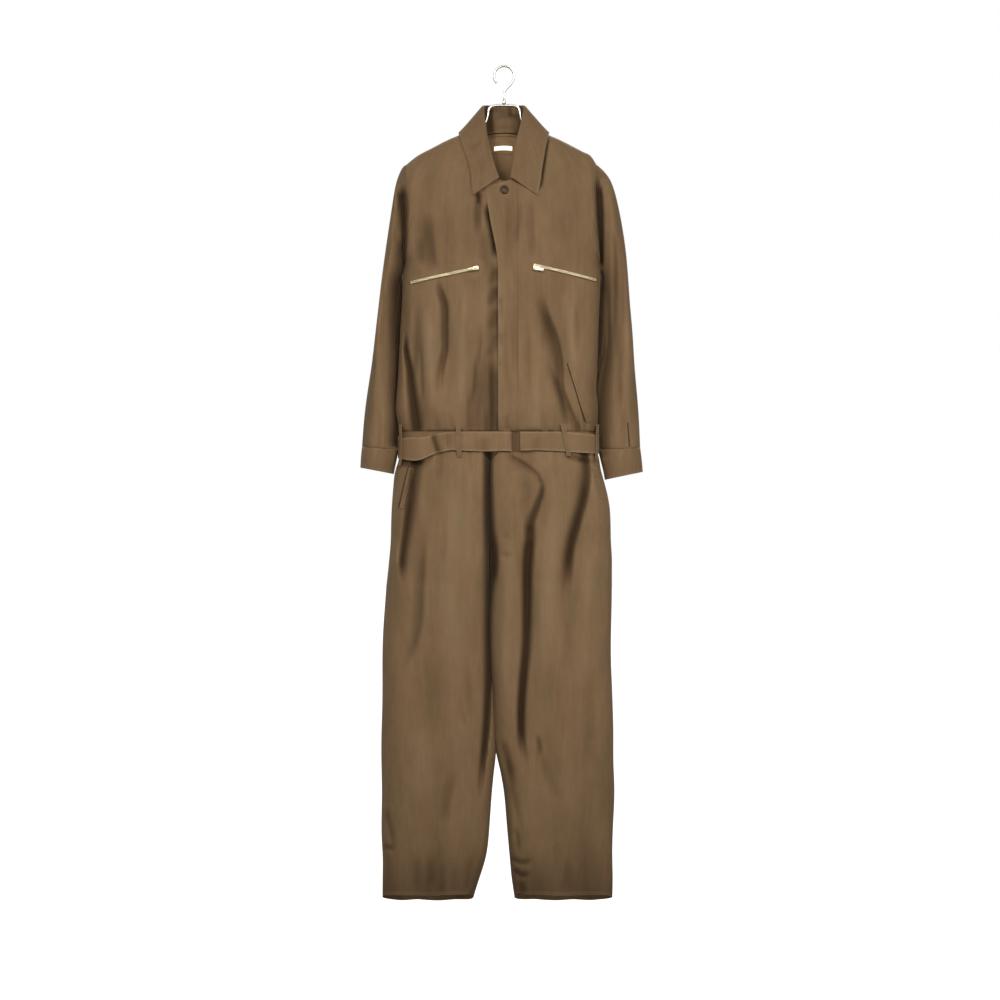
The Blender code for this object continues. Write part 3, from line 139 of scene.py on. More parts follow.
@dataclass(frozen=True)
class TwillFinish:
    """Linen and cotton twill: a dull, heathered cloth with slubs both ways and a faint bloom at
    grazing angles. Painted shade darkens its troughs and painted highlight lightens its ridges;
    edges are rubbed a little paler."""

    name: str = "linen_cotton_twill"
    dark: str = "72593D"
    light: str = "866A4C"
    olive: str = "6F5F40"       # the greener dye of some of the yarn
    # painted shade: the colour that the creases' troughs darken towards
    hollow_shade: str = "2E1C08"
    # paler colour of worn edges, and painted highlight on the ridges of creases
    rubbed: str = "9C8364"
    bloom: str = "D8C2A0"
    slub: Pair = (5.5, 130.0)   # width and length of the broad streaks down the cloth, of the fine
    warp: Pair = (1.9, 48.0)    # ones and of those across it. The real ones are 0.6 mm wide, and
    weft: Pair = (17.0, 1.6)    # all are drawn coarser so that they show
    fleck: Pair = (1.1, 1.1)
    blotch: Pair = (13.0, 30.0)
    patch: Pair = (34.0, 150.0)     # of the olive yarn
    cloud: Pair = (60.0, 120.0)
    rumple: float = 11.0        # spacing of the soft rumples between creases
    rumple_height: float = 1.0
    slub_height: float = 0.2

    def make(self) -> bpy.types.Material:
        """Build the material from the cloth's grain map and its tint attribute.

        Returns:
            The material.
        """
        material, tree = new_material(self.name)
        grain = add_node(tree, "UVMap", uv_map="grain").outputs[0]
        tint = add_node(tree, "Attribute", attribute_name="tint").outputs["Fac"]
        total: object = 0.0
        for size, shift, weight in (
            (self.slub, 7.0, 0.17), (self.warp, 3.0, 0.20), (self.weft, 11.0, 0.17),
            (self.blotch, 37.0, 0.20), (self.fleck, 19.0, 0.16), (self.cloud, 23.0, 0.33),
        ):
            inputs = (self.streaks(tree, grain, size, shift), weight, total)
            total = add_node(tree, "Math", inputs, operation="MULTIPLY_ADD").outputs[0]
        patch = self.streaks(tree, grain, self.patch, 43.0)
        colour: object = linear(self.dark)
        for value, span, blend_colour in (   # what decides, its range, the colour's share at either end, and the colour: the light yarn, the olive yarn, painted shade in troughs, then paler wear that is also painted highlight on ridges
            (total, (0.44, 0.78, 0.0, 1.0), self.light),
            (patch, (0.5, 0.72, 0.0, 0.45), self.olive),
            (tint, (0.52, 1.0, 0.0, 0.93), self.hollow_shade),
            (tint, (0.25, 0.5, 0.7, 0.0), self.rubbed),
        ):
            share = add_node(tree, "MapRange", (value, *span)).outputs[0]
            inputs = {0: share, 6: colour, 7: linear(blend_colour)}
            colour = add_node(tree, "Mix", inputs, data_type="RGBA").outputs[2]
        rough = add_node(tree, "MapRange", (total, 0.4, 0.8, 0.92, 0.78)).outputs[0]
        rumples = self.streaks(tree, grain, (self.rumple, 2.4 * self.rumple), 31.0)
        inputs = {"Height": rumples, "Strength": 0.5, "Distance": self.rumple_height * MM}
        coarse = add_node(tree, "Bump", inputs).outputs[0]
        inputs = {"Height": total, "Strength": 0.6, "Distance": self.slub_height * MM, "Normal": coarse}
        fine = add_node(tree, "Bump", inputs).outputs[0]
        return surfaced(material, {
            "Base Color": colour, "Roughness": rough, "Specular IOR Level": 0.22, "Normal": fine,
            "Sheen Weight": 0.18, "Sheen Roughness": 0.45, "Sheen Tint": linear(self.bloom),
        })

    @staticmethod
    def streaks(
        tree: bpy.types.NodeTree, grain: bpy.types.NodeSocket, size: Pair, shift: float,
    ) -> bpy.types.NodeSocket:
        """Noise drawn out along the grain.

        Args:
            tree: the material's node tree.
            grain: the cloth's own map, in millimetres.
            size: width and length of one streak.
            shift: where in the noise to start, so that two layers differ.

        Returns:
            The noise's output.
        """
        start = (shift, shift * 1.7, shift)
        scale = (1.0 / size[0], 1.0 / size[1], 1.0)
        place = add_node(tree, "Mapping", {"Vector": grain, "Location": start, "Scale": scale})
        inputs = {"Vector": place.outputs[0], "Scale": 1.0, "Detail": 2.0}
        return add_node(tree, "TexNoise", inputs).outputs[0]


@dataclass(frozen=True)
class MetalFinish:
    """A plated or rolled metal: mirror-like with hairlines too fine to see one by one."""

    name: str
    colour: str
    dull: float
    bright: float
    hairline: float = 1.11      # spacing, some ten times the real one so that it shows
    depth: float = 0.05         # of the hairlines

    def make(self) -> bpy.types.Material:
        """Build the material, with its hairlines in the roughness.

        Returns:
            The material.
        """
        material, tree = new_material(self.name)
        place = add_node(tree, "TexCoord").outputs["Object"]
        inputs = {"Vector": place, "Scale": 1.0 / (self.hairline * MM), "Detail": 3.0}
        hair = add_node(tree, "TexNoise", inputs).outputs[0]
        gloss = add_node(tree, "MapRange", (hair, 0.3, 0.7, self.bright, self.dull)).outputs[0]
        inputs = {"Height": hair, "Strength": 0.15, "Distance": self.depth * MM}
        scuff = add_node(tree, "Bump", inputs).outputs[0]
        return surfaced(material, {
            "Base Color": linear(self.colour), "Metallic": 1.0, "Roughness": gloss, "Normal": scuff,
        })


@dataclass(frozen=True)
class HornFinish:
    """Polished dark horn: a clear brown with paler streaks along the grain under a soft gloss."""

    name: str = "dark_horn"
    dark: str = "20130A"
    light: str = "573820"
    streak: Pair = (1.43, 6.67)     # width and length

    def make(self) -> bpy.types.Material:
        """Build the material from streaks along the grain.

        Returns:
            The material.
        """
        material, tree = new_material(self.name)
        place = add_node(tree, "TexCoord").outputs["Object"]
        across, along = (1.0 / (size * MM) for size in self.streak)
        drawn = add_node(tree, "Mapping", {"Vector": place, "Scale": (across, across, along)})
        inputs = {"Vector": drawn.outputs[0], "Scale": 1.0, "Detail": 2.0}
        share = add_node(tree, "TexNoise", inputs).outputs[0]
        inputs = {0: share, 6: linear(self.dark), 7: linear(self.light)}
        colour = add_node(tree, "Mix", inputs, data_type="RGBA").outputs[2]
        return surfaced(material, {
            "Base Color": colour, "Roughness": 0.45, "Specular IOR Level": 0.25, "Coat Weight": 0.04,
        })


@dataclass(frozen=True)
class YarnFinish:
    """Twisted thread or a woven tape: matt, with a fine rib and a soft bloom."""

    name: str
    colour: str
    shade: str
    rib: float          # spacing of the ribs
    glow: float = 0.0   # light the yarn gives off by itself though it is no lamp: painted light, which keeps the label bright
    depth: float = 0.1  # of the ribs

    def make(self) -> bpy.types.Material:
        """Build the material from a rib of the yarn's spacing.

        Returns:
            The material.
        """
        material, tree = new_material(self.name)
        place = add_node(tree, "TexCoord").outputs["Object"]
        inputs = {"Vector": place, "Scale": 1.0 / (self.rib * MM), "Detail": 1.0}
        rib = add_node(tree, "TexNoise", inputs).outputs[0]
        inputs = {0: rib, 6: linear(self.shade), 7: linear(self.colour)}
        colour = add_node(tree, "Mix", inputs, data_type="RGBA").outputs[2]
        inputs = {"Height": rib, "Strength": 0.4, "Distance": self.depth * MM}
        raised = add_node(tree, "Bump", inputs).outputs[0]
        return surfaced(material, {
            "Base Color": colour, "Roughness": 0.8, "Sheen Weight": 0.3, "Normal": raised,
            "Emission Color": linear(self.colour), "Emission Strength": self.glow,
        })


@dataclass(frozen=True)
class PaperFinish:
    """Matt white background paper, lit evenly so that it reads as white."""

    name: str = "white_background_paper"
    colour: str = "FFFFFF"
    glow: float = 0.9
    tooth: float = 3.33     # spacing, drawn coarser than the real paper's
    depth: float = 0.2      # of the tooth

    def make(self) -> bpy.types.Material:
        """Build the material with the tooth of paper in its bump.

        Returns:
            The material.
        """
        material, tree = new_material(self.name)
        place = add_node(tree, "TexCoord").outputs["Object"]
        inputs = {"Vector": place, "Scale": 1.0 / (self.tooth * MM), "Detail": 2.0}
        tooth = add_node(tree, "TexNoise", inputs).outputs[0]
        inputs = {"Height": tooth, "Strength": 0.05, "Distance": self.depth * MM}
        rough = add_node(tree, "Bump", inputs).outputs[0]
        return surfaced(material, {
            "Base Color": linear(self.colour), "Roughness": 0.95, "Specular IOR Level": 0.1,
            "Normal": rough, "Emission Color": linear(self.colour), "Emission Strength": self.glow,
        })


class Finish(Enum):
    """The finishes of the suit, its trims, its hanger and the studio."""

    TWILL = TwillFinish()
    TRIM = TwillFinish(name="linen_cotton_trim", dark="6E563A", light="83684B", rumple=7.0)
    NICKEL = MetalFinish("nickel_plated_steel", "DDD9CE", 0.26, 0.16)
    BRASS = MetalFinish("pale_brass", "E6D6B0", 0.42, 0.30)
    HORN = HornFinish()
    THREAD = YarnFinish("spun_polyester_thread", "8F7557", "7A6145", 0.35)
    DARK_THREAD = YarnFinish("dark_polyester_thread", "3B2A18", "2A1C10", 0.35)
    ZIP_TAPE = YarnFinish("woven_zip_tape", "5A442C", "403019", 0.6)
    # the label glows a little: painted light
    LABEL = YarnFinish("woven_label", "FFF9E4", "F3EAD0", 0.7, 0.42)
    PAPER = PaperFinish()

    def material(self) -> bpy.types.Material:
        """Find the finish's material, or make it the first time.

        Returns:
            The material.
        """
        found = bpy.data.materials.get(f"{self.value.name}.dressed")
        if found is None:
            found = self.value.make()
            found.name = f"{self.value.name}.dressed"
        return found


# ---------------------------------------------------------------- creases


SPREAD = 2.6        # a crease is felt this many half widths from its line
RUMPLES = (         # height, width, length, seed, and whether the back's start elsewhere across or down
    (1.9, 46.0, 230.0, 3, 0), (1.0, 22.0, 120.0, 0, 0), (0.5, 11.0, 52.0, 1, 1), (0.25, 7.0, 22.0, 2, 0),
)


def smooth_step(value: np.ndarray, low: float, high: float) -> np.ndarray:
    """A rise from 0 at low to 1 at high with flat ends.

    Args:
        value: numbers of any shape.
        low: where the rise starts.
        high: where it ends.

    Returns:
        Shares from 0 to 1.
    """
    share = np.clip((value - low) / (high - low), 0.0, 1.0)
    return share * share * (3.0 - 2.0 * share)


def soft_noise(across: np.ndarray, down: np.ndarray, seed: int) -> np.ndarray:
    """Smooth seeded noise on a plane.

    Args:
        across: first coordinate, one cycle for each unit.
        down: second coordinate.
        seed: which noise.

    Returns:
        Numbers from -1 to 1.
    """
    size = 64
    lattice = np.random.default_rng(seed).uniform(-1.0, 1.0, (size, size))
    i, j = np.floor(across).astype(int), np.floor(down).astype(int)
    u, v = smooth_step(across - i, 0.0, 1.0), smooth_step(down - j, 0.0, 1.0)
    corner = [lattice[(i + a) % size, (j + b) % size] for a, b in ((0, 0), (1, 0), (0, 1), (1, 1))]
    return (corner[0] * (1 - u) + corner[1] * u) * (1 - v) + (corner[2] * (1 - u) + corner[3] * u) * v


@dataclass(frozen=True)
class Crease:
    """One soft trough (or ridge, where depth is below 0) along a bent line.

    left and right are its half widths on either side, as seen in the front view when the line is
    turned to run straight down. ends are the shares of its length over which it fades in and out,
    a larger sharp squares off its sides, and taper is its width at either end as a share.
    """

    path: tuple[Pair, ...]
    depth: float
    left: float
    right: float
    ends: Pair = (0.4, 0.4)
    sharp: float = 2.0
    taper: Pair = (1.0, 1.0)

    def line(self, count: int = 18) -> np.ndarray:
        """Draw the bent line through the path's points.

        Args:
            count: how many points the line has.

        Returns:
            The points, at even shares of the line.
        """
        rough = np.array(self.path, float)
        if len(rough) == 2:
            return rough[0] + (rough[1] - rough[0]) * np.linspace(0.0, 1.0, count)[:, None]
        key = np.concatenate([[0.0], np.cumsum(np.hypot(*np.diff(rough, axis=0).T))])
        at = np.linspace(0.0, key[-1], count)
        slope = np.gradient(rough, key, axis=0)
        k = np.clip(np.searchsorted(key, at, side="right") - 1, 0, len(key) - 2)
        run = (key[k + 1] - key[k])[:, None]
        t = (at - key[k])[:, None] / run
        return (
            rough[k] * (2 * t**3 - 3 * t**2 + 1) + slope[k] * run * (t**3 - 2 * t**2 + t)
            + rough[k + 1] * (3 * t**2 - 2 * t**3) + slope[k + 1] * run * (t**3 - t**2)
        )

    def at(self, x: np.ndarray, drop: np.ndarray) -> np.ndarray:
        """Depth of the crease at points of the cloth.

        Args:
            x: the points' places across.
            drop: the points' drops.

        Returns:
            Depths in millimetres.
        """
        line = self.line()
        reach = SPREAD * max(self.left, self.right)
        low, high = line.min(0) - reach, line.max(0) + reach
        near = (x > low[0]) & (x < high[0]) & (drop > low[1]) & (drop < high[1])
        result = np.zeros_like(x)
        if not near.any():
            return result
        px, pd = x[near], drop[near]
        best = np.full(px.shape, FAR)
        side = np.zeros_like(px)
        share = np.zeros_like(px)
        for k in range(len(line) - 1):
            run = line[k + 1] - line[k]
            size = float(run @ run) or TINY
            t = np.clip(((px - line[k][0]) * run[0] + (pd - line[k][1]) * run[1]) / size, 0.0, 1.0)
            dx, dd = px - line[k][0] - t * run[0], pd - line[k][1] - t * run[1]
            gap = np.hypot(dx, dd)
            closer = gap < best
            best = np.where(closer, gap, best)
            side = np.where(closer, run[1] * dx - run[0] * dd, side)
            share = np.where(closer, (k + t) / (len(line) - 1), share)
        taper = self.taper[0] + share * (self.taper[1] - self.taper[0])
        width = np.where(side < 0.0, self.left, self.right) * taper
        profile = np.exp(-((best / width) ** self.sharp))
        fade = smooth_step(share, 0.0, self.ends[0]) * smooth_step(1.0 - share, 0.0, self.ends[1])
        result[near] = self.depth * profile * fade
        return result


def creases(*rows: tuple) -> tuple[Crease, ...]:
    """Creases from rows of path, depth, left, right and, where they differ, ends, sharp and taper."""
    return tuple(Crease(*row) for row in rows)


@dataclass(frozen=True)
class Relief:
    """The creases of one part of the suit, front and back, and the rumples between them.

    full is the distance from the side seams at which creases reach their depth. still rows are
    places (x, drop, radius) that stay flat, and nudge rows (x, drop, reach across, reach down,
    shift across, shift down) push the cloth within its sheet.
    """

    front: tuple[Crease, ...] = ()
    back: tuple[Crease, ...] = ()
    rumple: float = 0.8
    seed: int = 1
    full: float = 45.0
    still: tuple[Triple, ...] = ()
    nudge: tuple[tuple[float, float, float, float, float, float], ...] = ()

    def at(self, x: np.ndarray, drop: np.ndarray, behind: np.ndarray) -> np.ndarray:
        """Depth of all creases and rumples together.

        Args:
            x: the points' places across.
            drop: their drops.
            behind: which points are on the back.

        Returns:
            Depths in millimetres, below 0 on ridges.
        """
        total = np.zeros_like(x)
        for rows, chosen in ((self.front, ~behind), (self.back, behind)):
            for row in rows:
                total[chosen] += row.at(x[chosen], drop[chosen])
        shift = np.where(behind, 17.0, 0.0)     # so that the back's rumples aren't the front's
        waves = np.zeros_like(x)
        for height, wide, long, seed, way in RUMPLES:
            across, down = x / wide + shift * (1 - way), drop / long + shift * way
            waves += height * soft_noise(across, down, self.seed + seed)
        total += self.rumple * waves
        for spot_x, spot_drop, radius in self.still:
            gap = np.hypot(x - spot_x, drop - spot_drop)
            total = np.where(behind, total, total * smooth_step(gap, radius, 2.2 * radius))
        return total

    def shift(self, x: np.ndarray, drop: np.ndarray) -> tuple[np.ndarray, np.ndarray]:
        """How far the nudges push each point.

        Args:
            x: the points' places across.
            drop: their drops.

        Returns:
            How far across, and how far down.
        """
        right, down = np.zeros_like(x), np.zeros_like(x)
        for spot_x, spot_drop, reach_x, reach_drop, far, fall in self.nudge:
            share = np.exp(-(((x - spot_x) / reach_x) ** 2) - ((drop - spot_drop) / reach_drop) ** 4)
            right += far * share
            down += fall * share
        return right, down


WAIST = 693.0
CHEST = creases(
    (((-187, 500), (-184, 545), (-177, 580), (-173, 618), (-168, 655), (-162, 716)),
     13.0, 11, 9, (0.2, 0.02), 2.8, (0.25, 1.35)),
    (((-158, 520), (-156, 580), (-153, 648)), 4.0, 4.5, 3.5, (0.3, 0.4)),
    (((-167, 430), (-165, 520), (-170, 600)), 4.5, 9, 9),
    (((-186, 420), (-187, 500), (-186, 580)), 4.0, 9, 9),
    (((-148, 270), (-144, 340), (-136, 410)), 3.0, 24, 16, (0.35, 0.4)),
    (((-143, 275), (-138, 340), (-128, 405)), 5.0, 14, 7, (0.4, 0.3)),
    (((-157, 322), (-156, 386)), 4.0, 8, 6, (0.4, 0.3)),
    (((-112, 250), (-108, 310), (-102, 372)), 2.2, 10, 10),
    (((-130, 398), (-122, 424), (-111, 455), (-110, 500), (-110, 540), (-117, 575), (-120, 606), (-123, 640)),
     9.5, 9, 5.5, (0.2, 0.35), 2.6, (0.9, 0.7)),
    (((-46, 474), (-46, 535), (-52, 575), (-56, 620), (-66, 662)), 3.6, 4, 4, (0.3, 0.3)),
    (((-90, 405), (-86, 470), (-88, 540)), 2.2, 9, 9),
    (((-146, 460), (-142, 560), (-136, 660)), -5.0, 15, 14, (0.3, 0.3)),
    (((-80, 400), (-78, 540), (-82, 670)), -5.0, 18, 14, (0.3, 0.3)),
    (((-44, 540), (-47, 610), (-54, 716)), 5.0, 13, 14, (0.45, 0.02), 2.0, (0.7, 1.3)),
    (((-28, 530), (-28, 640), (-29, 716)), 4.2, 13, 12, (0.35, 0.02)),
    # a thin trough beside the collar's right edge, whose painted shade stands for the collar's shadow
    (((85, 134), (80, 158), (74, 195), (67, 240)), 9.0, 3.2, 2.8, (0.12, 0.12)),
    # a deep trough by the right armhole, whose painted shade stands for the shadow between sleeve and body
    (((176, 205), (179, 250), (181, 300), (183, 340), (187, 380)), 15.0, 7, 9, (0.3, 0.15), 3.0, (1.0, 0.5)),
    (((-64, 600), (-68, 716)), 3.6, 6, 8, (0.4, 0.02)),
    (((49, 244), (52, 310), (55, 396)), 4.8, 14, 5, (0.25, 0.45), 2.2),
    # a deep trough by the left armhole, whose painted shade stands for the shadow between sleeve and body
    (((-190, 222), (-187, 280), (-188, 340), (-190, 410)), 13.0, 8, 6, (0.2, 0.3), 2.8, (1.0, 0.6)),
    (((30, 250), (24, 310), (14, 360)), 3.4, 8, 7),
    (((9, 258), (8, 320), (6, 420)), 2.6, 6, 7, (0.3, 0.4)),
    (((6, 460), (4, 560), (7, 650)), 2.2, 6, 6),
    (((22, 440), (19, 540), (23, 630)), 2.6, 7, 6),
    (((40, 470), (43, 560), (41, 660)), 3.0, 7, 7),
    (((64, 405), (76, 463), (96, 516), (106, 566), (108, 610), (124, 655), (146, 700)),
     7.5, 14, 6, (0.35, 0.06), 2.2, (0.9, 0.7)),
    (((80, 560), (98, 596), (111, 640), (121, 690)), 4.5, 8, 4, (0.35, 0.1), 2.2),
    (((70, 430), (80, 480), (84, 560)), 3.0, 13, 10),
    (((136, 446), (141, 490), (144, 540)), 3.0, 7, 6),
    (((124, 430), (128, 520), (136, 610)), -4.5, 12, 12, (0.3, 0.3)),
    (((56, 560), (60, 716)), -3.5, 13, 13, (0.4, 0.02)),
    (((167, 560), (166, 630), (168, 716)), 4.0, 9, 8, (0.4, 0.02)),
    (((110, 250), (112, 300), (108, 350)), 2.0, 20, 20),
    (((-33, 650), (-32, 716)), 2.6, 4.5, 4.5, (0.5, 0.02)),
    (((-14, 655), (-13, 716)), 2.6, 4.2, 4.2, (0.5, 0.02)),
    (((5, 655), (6, 716)), 2.2, 4.2, 4.2, (0.5, 0.02)),
    (((74, 640), (77, 716)), 2.6, 5, 5, (0.5, 0.02)),
    (((140, 650), (142, 716)), 3.6, 4.5, 4.5, (0.4, 0.02)),
    (((152, 655), (153, 716)), 3.4, 4.2, 4.2, (0.4, 0.02)),
    (((-128, 650), (-126, 716)), 3.0, 6, 6, (0.5, 0.02)),
    (((-100, 655), (-99, 716)), 2.4, 5, 5, (0.5, 0.02)),
    # a trough along the waist seam, held shallow there, whose painted shade stands for the bodice's shadow
    # over the belt
    (((-215, 694), (-80, 695), (60, 694), (190, 694)), 4.5, 5, 5, (0.01, 0.01)),
)
PLACKET_SHADOW = creases(
    (((-47, 240), (-49, 275), (-50, 338)), 7.5, 6, 6, (0.1, 0.5)),
    (((-35, 262), (-26, 300), (-19, 335), (-15, 376)), 11.0, 6, 6, (0.2, 0.25)),
    (((-40, 300), (-34, 360), (-32, 420)), 3.6, 14, 12, (0.35, 0.4)),
    (((-15, 366), (-16, 460), (-17, 560)), 4.6, 12, 6, (0.15, 0.3)),
    (((-14, 384), (-19, 404), (-28, 422)), 3.6, 7, 7, (0.3, 0.4)),
    (((-14, 416), (-19, 440), (-34, 462)), 4.6, 8, 7, (0.3, 0.4)),
    (((-14, 458), (-18, 484), (-30, 510)), 3.8, 9, 7, (0.3, 0.4)),
    (((-14, 506), (-19, 534), (-33, 560)), 4.2, 8, 7, (0.3, 0.4)),
    (((-16, 556), (-18, 640), (-18, 716)), 5.0, 10, 7, (0.25, 0.02)),
    (((-52, 242), (-49, 252), (-48, 270)), 5.0, 2.4, 2.4, (0.1, 0.4)),
    (((-25, 522), (-24, 620), (-23, 716)), 3.2, 3.6, 3.6, (0.3, 0.02)),
)
PLACKET_WAVES = creases(
    (((-12, 412), (-9, 433), (-12, 452)), -3.0, 9, 10, (0.35, 0.35)),
    (((-12, 478), (-9, 500), (-12, 520)), -3.5, 9, 10, (0.35, 0.35)),
    (((-12, 530), (-9, 549), (-12, 570)), -3.0, 9, 10, (0.35, 0.35)),
    (((-9, 570), (-8, 716)), -1.6, 8, 9, (0.3, 0.3)),
    (((-30, 240), (-22, 290), (-13, 360)), -1.6, 8, 9, (0.3, 0.3)),
)
BEHIND = creases(
    (((-124, 280), (-120, 440), (-130, 716)), 9.0, 16, 13, (0.3, 0.02)),
    (((-46, 240), (-42, 400), (-40, 580)), 5.0, 17, 15),
    (((-84, 500), (-85, 640), (-88, 716)), 7.0, 10, 10, (0.4, 0.02)),
    (((54, 270), (50, 420), (47, 640)), 5.5, 16, 14),
    (((118, 300), (121, 480), (128, 716)), 9.0, 14, 13, (0.3, 0.02)),
    (((80, 540), (84, 716)), 6.5, 9, 10, (0.4, 0.02)),
    (((-6, 560), (-3, 716)), 5.5, 9, 9, (0.4, 0.02)),
    (((30, 630), (31, 716)), 3.0, 5, 5, (0.4, 0.02)),
    (((-26, 640), (-28, 716)), 3.0, 5, 5, (0.4, 0.02)),
    (((104, 645), (106, 716)), 3.0, 5, 5, (0.4, 0.02)),
    (((-108, 640), (-110, 716)), 3.0, 5, 5, (0.4, 0.02)),
    (((-86, 300), (-82, 420), (-70, 520)), -4.0, 16, 16, (0.3, 0.3)),
    (((86, 300), (84, 430), (76, 540)), -4.0, 16, 16, (0.3, 0.3)),
    (((-160, 236), (-110, 258), (-50, 262)), 2.6, 12, 12),
    (((160, 240), (108, 262), (50, 268)), 2.6, 12, 12),
    (((-215, 694), (0, 695), (190, 694)), 4.0, 5, 5, (0.01, 0.01)),
)
FIXED = ((1.0, 238.0, 13.0), (-58.0, 387.0, 13.0), (64.0, 387.0, 13.0))
NECK = ((0.0, 138.0, 30.0, 34.0, 0.0, -5.4),)
# painted shadows of the collar's edges on the inner face round the neck
NECK_SHADE = creases(
    (((-28, 66), (-27, 100), (-26, 124)), 11.0, 8, 7, (0.02, 0.05), 3.4),
    (((-26, 118), (-23, 150), (-17, 178), (-9, 198), (0, 216)), 6.5, 9, 9, (0.05, 0.05), 2.6),
    (((9, 74), (11, 90), (16, 100)), 5.0, 3, 3.5, (0.1, 0.4)),
    (((29, 76), (30, 100), (28, 122)), 5.5, 3.5, 6, (0.1, 0.2)),
    (((16, 122), (23, 124), (30, 118)), 6.0, 3.5, 3.5, (0.3, 0.1)),
    (((-20, 116), (0, 117), (24, 116)), 2.6, 5, 5, (0.1, 0.1)),
)
LEFT_FRONT = Relief(CHEST + PLACKET_SHADOW, BEHIND, rumple=1.0, seed=5, full=52.0, still=FIXED)
PLACKET = replace(LEFT_FRONT, front=CHEST + PLACKET_WAVES, nudge=((24.0, 460.0, 2.5, 330.0, 0.32, 0.0),))
BODICE = replace(LEFT_FRONT, front=CHEST, nudge=((170.0, 668.0, 14.0, 42.0, 5.5, 0.0),) + NECK)
